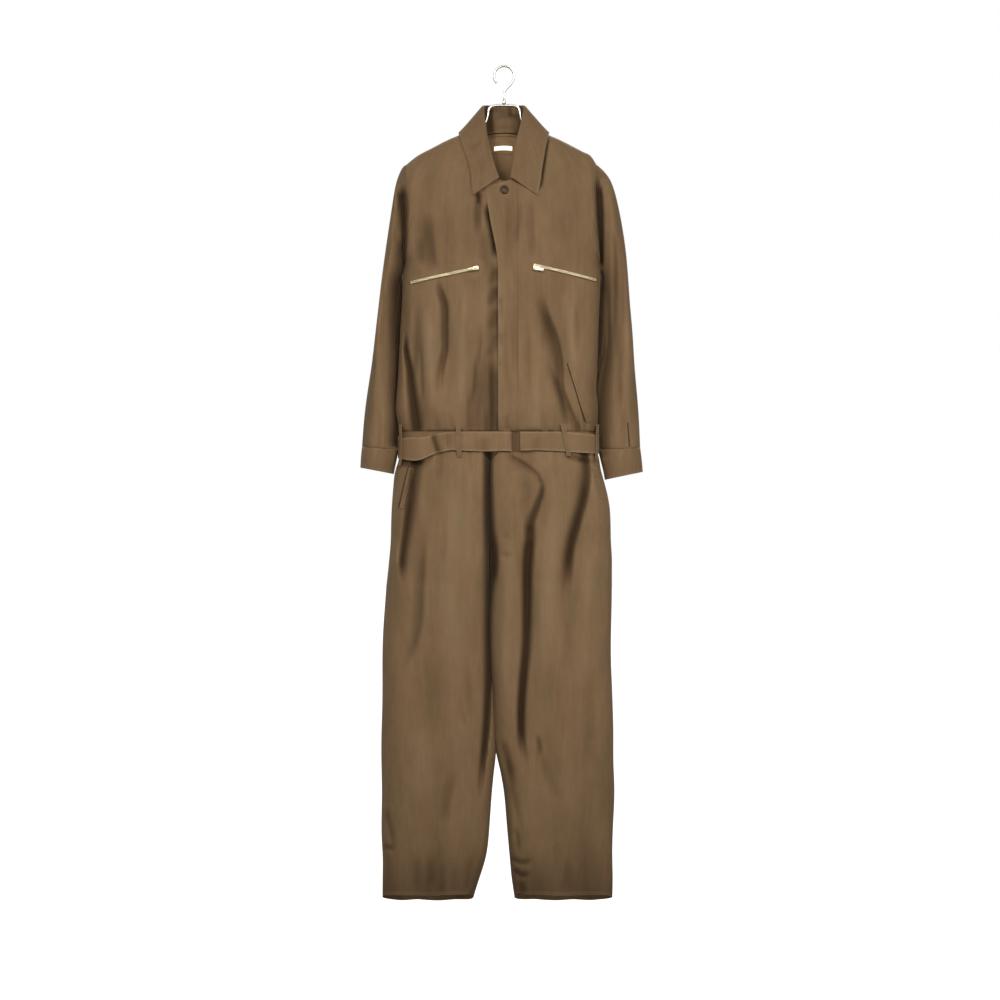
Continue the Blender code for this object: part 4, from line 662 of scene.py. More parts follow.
TROUSERS = Relief(
    front=creases(
        (((-165, 742), (-173, 788), (-179, 831), (-186, 883), (-192, 930), (-196, 985)),
         11.0, 5, 9, (0.05, 0.2), 2.2, (1.6, 0.7)),
        # a trough under the belt's left end, whose painted shade stands for the belt's shadow
        (((-200, 752), (-176, 756), (-146, 750)), 4.5, 5, 5, (0.2, 0.3)),
        (((-74, 740), (-75, 830), (-73, 868)), 1.8, 2.6, 2.6, (0.1, 0.2)),
        (((-112, 820), (-114, 900), (-116, 980)), 1.8, 8, 6),
        (((-203, 888), (-204, 925), (-201, 962)), -4.0, 7, 6),
        (((-150, 860), (-156, 978), (-161, 1060), (-178, 1115), (-206, 1170)), 6.0, 13, 6, (0.35, 0.25)),
        (((-98, 760), (-100, 950), (-104, 1180)), -5.0, 26, 24, (0.3, 0.4)),
        (((-66, 745), (-64, 900), (-60, 1010)), -2.5, 12, 12, (0.3, 0.4)),
        (((-30, 728), (-29, 849), (-25, 936), (-25, 990)), 13.0, 10.5, 9, (0.02, 0.12), 3.4, (0.72, 1.1)),
        (((-19, 880), (-16, 945), (-19, 985)), 9.0, 7, 5, (0.4, 0.3), 3.0),
        (((-25, 960), (-29, 1050), (-29, 1150), (-33, 1245), (-38, 1303), (-43, 1354), (-46, 1415)),
         14.0, 10.5, 8, (0.06, 0.3), 3.4, (1.0, 0.5)),
        (((-72, 1120), (-66, 1190), (-60, 1270)), 3.6, 9, 8),
        (((-96, 1318), (-107, 1382), (-116, 1450)), 5.5, 9, 7),
        (((-84, 1180), (-78, 1230), (-72, 1262)), 3.4, 7, 6, (0.4, 0.3)),
        (((-160, 1230), (-156, 1330), (-160, 1420)), -4.0, 22, 22),
        (((-226, 1400), (-216, 1445), (-208, 1490)), 5.0, 6, 7, (0.3, 0.4)),
        (((-236, 1482), (-220, 1480), (-204, 1486)), 6.0, 4, 4.5, (0.05, 0.4)),
        (((-168, 1480), (-166, 1530), (-168, 1570)), 2.6, 9, 9, (0.4, 0.3)),
        (((-118, 1496), (-117, 1540), (-119, 1576)), 2.8, 7, 7, (0.4, 0.3)),
        (((-140, 1490), (-138, 1530), (-139, 1560)), 2.4, 10, 10),
        (((-96, 1500), (-95, 1540), (-96, 1572)), 2.6, 8, 8, (0.4, 0.3)),
        (((-60, 1480), (-66, 1530), (-76, 1572)), 3.0, 7, 7, (0.4, 0.3)),
        (((4, 736), (38, 755), (66, 780), (72, 800)), 5.0, 8, 2.6, (0.2, 0.2)),
        (((64, 775), (72, 800), (62, 838), (52, 866), (48, 900)), 10.0, 8, 4.5, (0.3, 0.2), 2.2, (0.5, 1.3)),
        (((53, 860), (48, 905), (45, 938), (44, 1010), (42, 1100), (35, 1176), (32, 1235), (34, 1282),
          (44, 1338)), 16.0, 13, 12, (0.12, 0.2), 3.0, (0.75, 0.5)),
        (((30, 770), (44, 800), (40, 850)), 2.6, 16, 12),
        (((8, 850), (6, 960), (0, 1100), (-2, 1250)), -5.5, 15, 13, (0.3, 0.3)),
        (((92, 850), (84, 1000), (76, 1200)), -5.5, 22, 20, (0.3, 0.4)),
        (((20, 760), (22, 840)), -3.0, 14, 14),
        (((151, 726), (157, 768), (152, 812), (139, 862), (125, 915), (120, 960), (117, 1030)),
         13.0, 11, 6.5, (0.02, 0.35), 2.4),
        (((112, 738), (134, 742), (150, 752)), 4.5, 6, 5, (0.3, 0.2)),
        (((118, 1000), (120, 1100), (123, 1190)), 3.8, 9, 9),
        (((160, 900), (156, 1050), (154, 1200)), -4.0, 18, 18, (0.3, 0.4)),
        (((-10, 922), (3, 928), (16, 924)), 3.2, 5, 6),
        (((-6, 889), (4, 892), (14, 890)), 2.4, 5, 5),
        (((60, 1262), (67, 1290), (63, 1316)), 7.0, 4.5, 4, (0.3, 0.4)),
        (((-6, 1270), (4, 1310), (18, 1364)), 4.5, 6, 7, (0.25, 0.4)),
        (((66, 1290), (84, 1350), (112, 1410)), 4.2, 8, 11, (0.3, 0.5)),
        (((6, 1290), (14, 1368), (30, 1455)), 4.6, 8, 8, (0.3, 0.4)),
        (((12, 1330), (16, 1420), (20, 1480)), -3.0, 8, 8),
        (((12, 1500), (34, 1508), (58, 1500)), 6.0, 4.5, 5, (0.1, 0.4)),
        (((16, 1520), (34, 1532), (52, 1526)), 6.5, 5, 5.5, (0.2, 0.4)),
        (((30, 1536), (34, 1560), (32, 1584)), 4.0, 8, 8, (0.3, 0.2)),
        (((20, 1440), (26, 1470), (22, 1492)), 4.0, 5, 5, (0.3, 0.4)),
        (((118, 1500), (119, 1540), (118, 1572)), 2.6, 10, 10, (0.4, 0.3)),
        (((166, 1120), (160, 1230), (166, 1340)), 3.4, 12, 12),
        (((128, 1240), (126, 1340), (132, 1440)), -3.5, 20, 20),
        (((-66, 730), (-66, 790)), 2.4, 5, 5, (0.02, 0.5)),
        (((-120, 730), (-122, 800)), 2.6, 7, 7, (0.02, 0.5)),
        (((96, 730), (97, 790)), 2.2, 6, 6, (0.02, 0.5)),
        # troughs under the belt's ends, whose painted shade stands for the belt's shadow
        (((-205, 754), (-165, 752), (-126, 740)), 4.5, 6, 6, (0.01, 0.4)),
        (((108, 740), (146, 747), (175, 752)), 3.6, 4, 4, (0.4, 0.01)),
    ),
    back=creases(
        (((-150, 726), (-146, 880), (-142, 1020)), 9.0, 13, 12, (0.02, 0.4)),
        (((-72, 880), (-76, 1050), (-85, 1220)), 8.5, 14, 12, (0.3, 0.4)),
        (((-150, 1220), (-134, 1330), (-121, 1440)), 7.0, 12, 11, (0.3, 0.4)),
        (((-108, 780), (-112, 960), (-114, 1120)), -4.5, 20, 20, (0.3, 0.4)),
        (((126, 726), (122, 860), (118, 1010)), 9.0, 12, 13, (0.02, 0.4)),
        (((42, 880), (50, 1040), (60, 1235)), 8.5, 12, 13, (0.3, 0.4)),
        (((132, 1210), (112, 1320), (97, 1420)), 7.0, 11, 12, (0.3, 0.4)),
        (((84, 790), (88, 960), (92, 1120)), -4.5, 20, 20, (0.3, 0.4)),
        (((-30, 1012), (-66, 1054), (-122, 1080)), 4.5, 10, 10, (0.15, 0.5)),
        (((-24, 1012), (30, 1052), (94, 1074)), 4.5, 10, 10, (0.15, 0.5)),
        (((-60, 726), (-60, 800)), 3.4, 6, 6, (0.02, 0.5)),
        (((30, 726), (31, 800)), 3.4, 6, 6, (0.02, 0.5)),
        (((86, 726), (86, 790)), 3.2, 6, 6, (0.02, 0.5)),
        (((-108, 726), (-109, 790)), 3.2, 6, 6, (0.02, 0.5)),
        (((-204, 1440), (-170, 1454), (-136, 1450)), 3.6, 10, 10),
        (((200, 1430), (160, 1448), (126, 1442)), 3.6, 10, 10),
        (((-200, 746), (0, 744), (180, 746)), 3.5, 4, 4, (0.01, 0.01)),
    ),
    rumple=1.1, seed=11, full=42.0,
)
HEM_WAVES = tuple((x, 1592.0, reach, 16.0, 0.0, fall) for x, reach, fall in (
    (-196.0, 15.0, 1.0), (-164.0, 13.0, -1.2), (-128.0, 15.0, 1.1), (-92.0, 12.0, -0.9), (-64.0, 11.0, 1.3),
    (24.0, 13.0, 1.2), (58.0, 12.0, -1.1), (96.0, 15.0, 1.0), (132.0, 13.0, -1.2), (166.0, 12.0, 0.9),
))
FRONT_HEM = tuple((x, 1600.0, reach, 34.0, 0.0, 11.5) for x, reach in ((-144.0, 62.0), (111.0, 68.0)))
LEFT_LEG, RIGHT_LEG = (
    replace(TROUSERS, nudge=HEM_WAVES + (
        (-26.0, 1085.0, 11.0, 100.0, way * 3.2, 0.0), (x, 1260.0, 9.0, 62.0, way * 2.6, 0.0),
    )) for way, x in ((1.0, -19.0), (-1.0, -15.0))
)
LEFT_SLEEVE = Relief(
    front=creases(
        # a deep trough by the armhole, whose painted shade stands for the body's shadow on the sleeve
        (((-195, 225), (-190, 275), (-188, 330), (-191, 410)), 16.0, 9, 8, (0.15, 0.25), 2.8, (1.0, 0.5)),
        (((-193, 320), (-198, 370), (-201, 430)), 8.0, 7, 7, (0.3, 0.3)),
        (((-201, 375), (-203, 470), (-204, 560), (-208, 725)), 15.0, 11, 9, (0.15, 0.02), 2.6),
        (((-228, 280), (-236, 420), (-246, 560)), -3.5, 11, 10),
        (((-240, 500), (-252, 600), (-258, 710)), 4.0, 9, 8, (0.4, 0.3)),
        (((-224, 250), (-226, 330), (-232, 430)), 2.4, 8, 8),
        (((-232, 630), (-236, 725)), 3.2, 5, 5, (0.5, 0.02)),
        (((-262, 650), (-263, 725)), 3.0, 5, 5, (0.5, 0.02)),
        (((-222, 590), (-227, 700)), -2.5, 8, 8, (0.4, 0.3)),
    ),
    back=creases(
        (((-210, 300), (-214, 400), (-222, 580)), 7.0, 9, 9, (0.3, 0.4)),
        (((-240, 440), (-248, 560), (-252, 690)), 6.0, 9, 9, (0.3, 0.3)),
        (((-230, 600), (-232, 725)), 4.5, 6, 6, (0.5, 0.02)),
    ),
    rumple=1.0, seed=21, full=22.0,
    nudge=((-198.0, 450.0, 13.0, 95.0, 5.5, 0.0), (-204.0, 625.0, 13.0, 90.0, 4.5, 0.0),
           (-208.0, 700.0, 13.0, 60.0, 5.0, 0.0)),
)
RIGHT_SLEEVE = Relief(
    front=creases(
        # a deep trough by the armhole, whose painted shade stands for the body's shadow on the sleeve
        (((174, 205), (179, 258), (182, 310), (185, 350), (188, 390)),
         20.0, 10, 9, (0.25, 0.15), 3.2, (1.0, 0.4)),
        (((206, 290), (209, 380), (209, 470), (207, 540)), 4.2, 5, 5, (0.3, 0.3)),
        (((189, 388), (196, 424), (198, 470), (200, 550)), 7.0, 3.2, 3.2, (0.15, 0.4)),
        (((190, 470), (191, 550), (189, 640), (186, 745)), 10.5, 13, 12, (0.3, 0.02), 2.4),
        (((230, 320), (234, 460), (242, 600)), -4.0, 11, 11),
        (((214, 470), (216, 560), (214, 680)), 3.0, 9, 8, (0.4, 0.3)),
        (((246, 540), (248, 640), (250, 715)), 3.4, 8, 8, (0.4, 0.3)),
        (((226, 640), (227, 725)), 3.0, 5, 5, (0.5, 0.02)),
        (((206, 215), (213, 280), (216, 350)), 2.6, 8, 8),
    ),
    back=creases(
        (((206, 300), (208, 400), (214, 580)), 7.0, 9, 9, (0.3, 0.4)),
        (((236, 430), (240, 560), (244, 690)), 6.0, 9, 9, (0.3, 0.3)),
        (((222, 600), (224, 725)), 4.5, 6, 6, (0.5, 0.02)),
    ),
    rumple=1.0, seed=31, full=22.0,
    nudge=((183.0, 430.0, 13.0, 90.0, -4.5, 0.0), (183.0, 655.0, 15.0, 95.0, -9.0, 0.0),
           (178.0, 675.0, 12.0, 32.0, -3.0, 0.0)),
)
COLLAR = Relief(
    front=creases(
        (((-38, 144), (-54, 156), (-72, 168)), 3.0, 7, 6),
        (((-30, 170), (-44, 196), (-52, 222)), 1.6, 9, 9),
        (((34, 150), (46, 176), (60, 210)), 1.6, 11, 10),
        (((-34, 120), (-31, 160), (-22, 200)), 3.0, 5, 6, (0.3, 0.3)),
    ),
    rumple=0.5, seed=41, full=30.0,
    nudge=((0.0, 72.0, 300.0, 42.0, 0.0, -8.0),) + NECK,
)
BELT = Relief(
    front=creases(
        (((-137, 690), (-131, 714), (-118, 748)), 6.0, 4.5, 7.5, (0.02, 0.02)),
        (((-106, 695), (-105, 730)), 1.6, 5, 5, (0.3, 0.3)),
        # a trough at the gap between the belt's ends, whose painted shade stands for the shadow there
        (((20, 690), (21, 716), (23, 748)), 8.5, 7, 7, (0.02, 0.02), 2.8),
        (((-150, 700), (-152, 745)), -2.0, 14, 14, (0.3, 0.3)),
        (((-40, 700), (-38, 742)), 2.0, 12, 12, (0.3, 0.3)),
        (((60, 700), (62, 742)), 1.8, 12, 12, (0.3, 0.3)),
        (((4, 690), (5, 745)), -2.0, 7, 7, (0.02, 0.02)),
    ),
    rumple=0.5, seed=51, full=40.0,
    nudge=(
        (-170.0, 747.0, 22.0, 17.0, 0.0, 3.4), (-96.0, 742.0, 20.0, 26.0, 0.0, -1.4),
        (-172.0, 703.0, 26.0, 15.0, 0.0, -5.0),
        (-40.0, 742.0, 22.0, 26.0, 0.0, 1.2), (16.0, 742.0, 7.0, 26.0, 0.0, 1.8),
        (60.0, 742.0, 26.0, 26.0, 0.0, -1.2), (128.0, 744.0, 22.0, 26.0, 0.0, 1.2),
    ),
)
PLAIN = Relief(rumple=0.35, seed=61)
INNER_NECK = replace(PLAIN, nudge=NECK)
# the waistband between the belt's ends is held shallow by its scale, and its painted shade stands for the
# shadow there
BAND = replace(PLAIN, front=creases((((20, 690), (21, 748)), 14.0, 9, 9, (0.02, 0.02), 3.0)))


# ---------------------------------------------------------------- meshes


def link_new(name: str, data: bpy.types.ID) -> bpy.types.Object:
    """Link a new object.

    Args:
        name: its name.
        data: its mesh, light or camera.

    Returns:
        The object, at the origin.
    """
    item = bpy.data.objects.new(name, data)
    bpy.context.scene.collection.objects.link(item)
    return item


def mesh_object(name: str, mesh: bmesh.types.BMesh | bpy.types.Mesh, finish: Finish) -> bpy.types.Object:
    """Link a finished mesh as an object at the origin.

    Args:
        name: the piece's name.
        mesh: a mesh, or a bmesh, which is freed.
        finish: its finish.

    Returns:
        The object.
    """
    if isinstance(mesh, bmesh.types.BMesh):
        data = bpy.data.meshes.new(name)
        mesh.to_mesh(data)
        mesh.free()
        mesh = data
    mesh.name = name
    mesh.materials.clear()
    mesh.materials.append(finish.material())
    return link_new(name, mesh)


def triangles(data: bpy.types.Mesh) -> int:
    """How many triangles a mesh has."""
    return len(data.loops) - 2 * len(data.polygons)


def evaluated(item: bpy.types.Object) -> bpy.types.Mesh:
    """Apply an object's modifiers.

    Args:
        item: the object, which keeps them.

    Returns:
        A new mesh.
    """
    depsgraph = bpy.context.evaluated_depsgraph_get()
    depsgraph.update()
    return bpy.data.meshes.new_from_object(item.evaluated_get(depsgraph))


def read_points(data: bpy.types.Mesh) -> np.ndarray:
    """Read a mesh's points.

    Args:
        data: the mesh.

    Returns:
        A row for each point, in millimetres.
    """
    spots = np.empty(len(data.vertices) * 3)
    data.vertices.foreach_get("co", spots)
    return spots.reshape(-1, 3) / MM


def write_points(data: bpy.types.Mesh, spots: np.ndarray) -> None:
    """Put the mesh's points at places given in millimetres."""
    data.vertices.foreach_set("co", (spots * MM).ravel())
    data.update()


def write_grain(data: bpy.types.Mesh, across: np.ndarray, down: np.ndarray) -> None:
    """Write the map that the weave follows.

    Args:
        data: the mesh.
        across: each point's place across the cloth, in millimetres.
        down: its place along the cloth.
    """
    loops = np.empty(len(data.loops), int)
    data.loops.foreach_get("vertex_index", loops)
    layer = data.uv_layers.new(name="grain")
    layer.data.foreach_set("uv", np.stack([across[loops], down[loops]], 1).ravel())


def write_tint(data: bpy.types.Mesh, values: np.ndarray) -> None:
    """Write each point's tint, its painted shade and wear: FLAT on flat cloth, up to 1 in the deepest trough.
    """
    attribute = data.attributes.new("tint", "FLOAT", "POINT")
    attribute.data.foreach_set("value", values.astype(np.float32))


def shade(item: bpy.types.Object, angle: float = 38.0) -> None:
    """Shade an object smooth.

    Args:
        item: the object.
        angle: edges that bend by more than these degrees stay sharp.
    """
    for face in item.data.polygons:
        face.use_smooth = True
    item.data.set_sharp_from_angle(angle=math.radians(angle))


def solid_mesh(node: str) -> bmesh.types.BMesh:
    """Copy a solid's mesh.

    Args:
        node: the solid.

    Returns:
        Its triangles, joined at their points.
    """
    mesh = bmesh.new()
    mesh.from_mesh(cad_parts[node].data)
    bmesh.ops.remove_doubles(mesh, verts=mesh.verts, dist=MERGE)
    return mesh


def control_mesh(node: str) -> bmesh.types.BMesh:
    """Make a coarse mesh to be rounded from a solid.

    Args:
        node: the solid.

    Returns:
        Its faces as quads, with the sharp edges creased so that they stay crisp.
    """
    mesh = solid_mesh(node)
    bmesh.ops.join_triangles(
        mesh, faces=mesh.faces, angle_face_threshold=math.radians(50.0),
        angle_shape_threshold=math.radians(170.0), cmp_seam=False, cmp_sharp=False,
    )
    mesh.normal_update()
    layer = mesh.edges.layers.float.new("crease_edge")
    for edge in mesh.edges:
        if edge.calc_face_angle(0.0) > SHARP:
            edge[layer] = 1.0
    return mesh


def rounded(name: str, control: bmesh.types.BMesh, levels: int, finish: Finish) -> bpy.types.Mesh:
    """Subdivide a control mesh smoothly and still through the control mesh's own points.

    Args:
        name: the piece's name.
        control: the coarse mesh, which is freed.
        levels: how often it is divided.
        finish: its finish.

    Returns:
        The fine mesh.
    """
    item = mesh_object(name, control, finish)
    modifier = item.modifiers.new("round", "SUBSURF")
    modifier.use_limit_surface = True
    modifier.levels = modifier.render_levels = 1
    aim = read_points(item.data)
    for _ in range(3):      # each time closer to the control mesh's own points
        tried = evaluated(item)
        miss = aim - read_points(tried)[:len(aim)]
        write_points(item.data, read_points(item.data) + miss)
        bpy.data.meshes.remove(tried)
    modifier.levels = modifier.render_levels = levels
    data = evaluated(item)
    rough = item.data
    bpy.data.objects.remove(item, do_unlink=True)
    bpy.data.meshes.remove(rough)
    return data


def rest_on(item: bpy.types.Object, slot: str, *nodes: str, body: str = "root") -> bpy.types.Object:
    """Give a piece its body, hide the solids that it stands for and log its triangles.

    Args:
        item: the piece.
        slot: the record's slot; not used.
        nodes: the solids' names.
        body: the body that it moves with.

    Returns:
        The piece.
    """
    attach(item, body)
    if nodes:
        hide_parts(*nodes)
    LOG.info("%s: %d triangles", item.name, triangles(item.data))
    return item


# ---------------------------------------------------------------- cloth pieces


FLAT = 0.5                      # the tint of flat cloth
TROUGH, RIDGE = 26.0, 60.0      # depth of a trough, and height of a ridge, that change the tint by 1: painted shade, and painted highlight
RIM_LINE, WORN_LINE, SEAM_LINE = 0.3, 2.6, 4.0      # where wear and shade at a rim start and end
SEAM_SHADE, WEAR = 0.10, 0.2    # how much darker a seam is, and how much paler the most worn edge


@dataclass
class ClothPiece:
    """One cut piece of cloth, laid over the wall of its solid and creased."""

    node: str
    relief: Relief
    levels: int = 3
    finish: Finish = Finish.TWILL
    flat: Pair | None = None
    area: float | None = None
    axis: Pair = (-10.0, 0.0)   # x and y of the middle of what the piece goes round
    lift: float = 0.0           # how far the piece is moved outwards off what it lies on
    hold_top: float = -FAR      # creases fade out above this drop
    hold_bottom: float = FAR    # and below this one
    scale: float = 1.0          # share of the creases' depth that the piece takes
    paint: float = 1.0          # how strongly painted shade darkens the troughs and painted highlight lightens the ridges
    rubbed: float = 0.0         # how pale its edges are worn
    worn: tuple[float, float, float, float] = (-FAR, FAR, -FAR, FAR)    # where: x and drop
    inside: float = 0.13        # painted shade: how much darker its inner face is
    dim: Triple = (0.0, 1.0, 0.0)       # painted shade: it darkens from a drop to another, by this much
    shaded: tuple[Crease, ...] = ()     # painted shadow: where its inner face alone is darker
    item: bpy.types.Object | None = field(default=None, repr=False)
    tree: BVHTree | None = field(default=None, repr=False)
    rows: list = field(default_factory=list, repr=False)

    def build(self) -> bpy.types.Object:
        """Subdivide the wall, crease it, map its grain and link it.

        Returns:
            The piece's object.
        """
        name = f"cloth_{self.node}"
        rough = control_mesh(self.node)
        bends = [edge for edge in rough.edges if edge.calc_face_angle(0.0) > SHARP]
        rim = [(edge.verts[0].co.copy(), edge.verts[1].co.copy()) for edge in bends]
        self.rows = rim_chains(rough, self.axis)
        data = rounded(name, rough, self.levels, self.finish)
        spots = read_points(data)
        depth = self.depths(spots)
        self.map_grain(data, spots)
        # painted shade takes the creases' depth before any fading, so it darkens also where the cloth is held
        # flat
        self.tint(data, spots, depth, rim_distance(rim, spots))
        write_points(data, self.moved(spots, depth))
        self.item = mesh_object(name, data, self.finish)
        shade(self.item)
        slot = "linen_cotton_trim" if self.finish is Finish.ZIP_TAPE else self.finish.value.name
        rest_on(self.item, slot, self.node)
        self.tree = BVHTree.FromObject(self.item, bpy.context.evaluated_depsgraph_get())
        return self.item

    def depths(self, spots: np.ndarray) -> np.ndarray:
        """How far the creases sink at each point, before any fading."""
        return self.relief.at(spots[:, 0], -spots[:, 2], spots[:, 1] > 0.0)

    def moved(self, spots: np.ndarray, depth: np.ndarray) -> np.ndarray:
        """Sink points by the creases' depth.

        Args:
            spots: the points in millimetres.
            depth: the depth at each, which fades at the side seams and at the held ends.

        Returns:
            The points' new places.
        """
        seam, top, bottom = 3.0, 8.0, 7.0       # reach of the side seams' and the held ends' hold
        drop = -spots[:, 2]
        fade = self.scale * smooth_step(np.abs(spots[:, 1]), seam, self.relief.full)
        held = smooth_step(drop - self.hold_top, 0.0, top)
        fade *= held * smooth_step(self.hold_bottom - drop, 0.0, bottom)
        result = spots.copy()
        result[:, 1] -= np.sign(spots[:, 1]) * (depth * fade - self.lift)
        right, down = self.relief.shift(spots[:, 0], drop)
        result[:, 0] += right
        result[:, 2] -= down
        return result

    def map_grain(self, data: bpy.types.Mesh, spots: np.ndarray) -> None:
        """Write the grain map: millimetres round the body and down, kept even round the sides.

        Args:
            data: the mesh.
            spots: its points in millimetres.
        """
        x = spots[:, 0] - self.axis[0]
        depth = np.abs(spots[:, 1])
        write_grain(data, np.sign(x) * (np.abs(x) + depth.max() - depth), spots[:, 2])

    def tint(self, data: bpy.types.Mesh, spots: np.ndarray, depth: np.ndarray, gap: np.ndarray) -> None:
        """Write the tint: painted shade in troughs, on the inner face and where dim and shaded say; painted
        highlight on ridges; darker seams; paler worn edges.

        Args:
            data: the mesh.
            spots: its points in millimetres.
            depth: the creases' depth there.
            gap: the distance to the piece's rim.
        """
        normals = np.empty(len(data.vertices) * 3)
        data.vertices.foreach_get("normal", normals)
        normals = normals.reshape(-1, 3)
        x, drop = spots[:, 0], -spots[:, 2]
        inner = normals[:, 0] * (x - self.axis[0]) + normals[:, 1] * (spots[:, 1] - self.axis[1]) < 0.0
        # painted shade in troughs and painted highlight on ridges, then painted shade on the inner face, in
        # the painted shadows and towards the dimmed drops
        value = FLAT + self.paint * np.where(depth > 0.0, depth / TROUGH, depth / RIDGE)
        value += np.where(inner, self.inside, 0.0)
        for row in self.shaded:
            value += np.where(inner, row.at(x, drop) / TROUGH, 0.0)
        value += self.dim[2] * smooth_step(drop, self.dim[0], self.dim[1])
        left, right, top, bottom = self.worn
        worn = (x > left) & (x < right) & (drop > top) & (drop < bottom)
        value -= np.where(worn, self.rubbed * WEAR * (1.0 - smooth_step(gap, RIM_LINE, WORN_LINE)), 0.0)
        if not self.rubbed:
            value += SEAM_SHADE * (1.0 - smooth_step(gap, RIM_LINE, SEAM_LINE))
        write_tint(data, np.clip(value, 0.0, 1.0))


def rim_distance(rim: list[tuple[Vector, Vector]], spots: np.ndarray) -> np.ndarray:
    """Distance of each point from a wall's rim.

    Args:
        rim: the rim's edges in metres.
        spots: points in millimetres.

    Returns:
        Distances in millimetres.
    """
    spacing = 2.0
    samples = []
    for a, b in rim:
        steps = max(2, int((b - a).length / (spacing * MM)))
        samples += [a.lerp(b, k / steps) for k in range(steps + 1)]
    tree = KDTree(len(samples))
    for k, sample in enumerate(samples):
        tree.insert(sample, k)
    tree.balance()
    return np.array([tree.find(spot)[2] / MM for spot in spots * MM])


def rim_chains(mesh: bmesh.types.BMesh, axis: Pair) -> list[list[Place]]:
    """The outer rims of a wall as chains of points, each with its way inwards and its normal.

    Args:
        mesh: the wall's control mesh.
        axis: x and y of the middle of what the wall goes round.

    Returns:
        The chains, in metres.
    """
    wall = 2.4 * MM     # a little over the thickness of a wall

    def is_rim(face: bmesh.types.BMFace) -> bool:
        """Whether a face is part of the wall's edge and not of one of its sheets."""
        return face.calc_area() / max(edge.calc_length() for edge in face.edges) < wall

    inward, normals, links = {}, {}, {}
    for edge in mesh.edges:
        if len(edge.link_faces) != 2 or edge.calc_face_angle(0.0) <= SHARP:
            continue
        sheet = [face for face in edge.link_faces if not is_rim(face)]
        if len(sheet) != 1:
            continue
        face = sheet[0]
        middle = face.calc_center_median()
        away = Vector((middle.x - axis[0] * MM, middle.y - axis[1] * MM, 0.0))
        if face.normal.dot(away) <= 0.0:
            continue
        a, b = edge.verts
        way = face.normal.cross(b.co - a.co).normalized()
        if way.dot(middle - a.co) < 0.0:
            way = -way
        for vert, other in ((a, b), (b, a)):
            inward.setdefault(vert, []).append(way)
            normals.setdefault(vert, []).append(face.normal)
            links.setdefault(vert, []).append(other)
    chains, seen = [], set()
    starts = [v for v in links if len(links[v]) != 2] + list(links)
    for start in starts:
        if start in seen:
            continue
        chain, vert, before = [], start, None
        while vert is not None:
            seen.add(vert)
            ways = inward[vert]
            total = ways[0]
            if len(ways) > 1:       # at a corner the way inwards is longer
                total = sum(ways, Vector()) / (1.0 + min(1.0, max(-0.5, ways[0].dot(ways[-1]))))
            chain.append((vert.co.copy(), total, sum(normals[vert], Vector()).normalized()))
            following = [v for v in links[vert] if v is not before and (v not in seen or v is start)]
            before, vert = vert, (following[0] if following else None)
            if vert is start:
                chain.append(chain[0])
                vert = None
        chains.append(chain)
    return chains


# ---------------------------------------------------------------- repeated small shapes


@dataclass
class Stamp:
    """One small shape set down many times and joined in one mesh."""

    points: np.ndarray
    faces: list[tuple[int, ...]]
    spots: list[Matrix] = field(default_factory=list, repr=False)

    @classmethod
    def of(cls, mesh: bmesh.types.BMesh) -> "Stamp":
        """Make a stamp from a mesh.

        Args:
            mesh: the shape in millimetres, which is freed.

        Returns:
            The stamp.
        """
        mesh.verts.index_update()
        points = np.array([vert.co[:] for vert in mesh.verts])
        faces = [tuple(vert.index for vert in face.verts) for face in mesh.faces]
        mesh.free()
        return cls(points, faces)

    @classmethod
    def bead(cls, across: float, out: float, along: float) -> "Stamp":
        """An egg-shaped bead of few faces, such as one stitch.

        Args:
            across: its width.
            out: its height.
            along: its length.

        Returns:
            The stamp.
        """
        mesh = bmesh.new()
        bmesh.ops.create_uvsphere(mesh, u_segments=6, v_segments=4, radius=0.5)
        bmesh.ops.scale(mesh, vec=(across, out, along), verts=mesh.verts)
        return cls.of(mesh)

    @classmethod
    def block(cls, across: float, out: float, along: float, bevel: float) -> "Stamp":
        """A block with bevelled edges, such as one tooth.

        Args:
            across: its width.
            out: its height.
            along: its length.
            bevel: the bevel's width.

        Returns:
            The stamp.
        """
        mesh = bmesh.new()
        bmesh.ops.create_cube(mesh, size=1.0)
        bmesh.ops.scale(mesh, vec=(across, out, along), verts=mesh.verts)
        bmesh.ops.bevel(
            mesh, geom=mesh.edges[:], offset=bevel, segments=1, profile=0.5, affect="EDGES", material=-1,
        )
        return cls.of(mesh)

    def put(self, spot: Vector, along: Vector, out: Vector) -> None:
        """Set the shape down once more.

        Args:
            spot: the place, in metres.
            along: the way of its length.
            out: the way of its top.
        """
        along = along.normalized()
        out = (out - along * out.dot(along)).normalized()
        across = out.cross(along)
        turn = Matrix((across, out, along)).transposed()
        self.spots.append(Matrix.Translation(spot) @ turn.to_4x4() @ Matrix.Scale(MM, 4))

    def build(self, name: str, finish: Finish, slot: str) -> bpy.types.Object:
        """Join all the copies in one object.

        Args:
            name: the object's name.
            finish: its finish.
            slot: the record's slot.

        Returns:
            The object.
        """
        points = np.hstack([self.points, np.ones((len(self.points), 1))])
        all_points = np.concatenate([points @ np.array(spot).T for spot in self.spots])[:, :3]
        count = len(self.points)
        faces = [tuple(i + k * count for i in face) for k in range(len(self.spots)) for face in self.faces]
        data = bpy.data.meshes.new(name)
        data.from_pydata(all_points.tolist(), [], faces)
        item = mesh_object(name, data, finish)
        shade(item, 50.0)
        return rest_on(item, slot)


def resample(points: Sequence[Vector], step: float) -> list[Vector]:
    """Set points at even steps along a line.

    Args:
        points: the line's corners.
        step: the distance between two points.

    Returns:
        The points.
    """
    result, carry = [], 0.0
    for a, b in zip(points, points[1:]):
        length = (b - a).length
        if length < TINY:
            continue
        at = carry
        while at < length:
            result.append(a.lerp(b, at / length))
            at += step
        carry = at - length
    return result


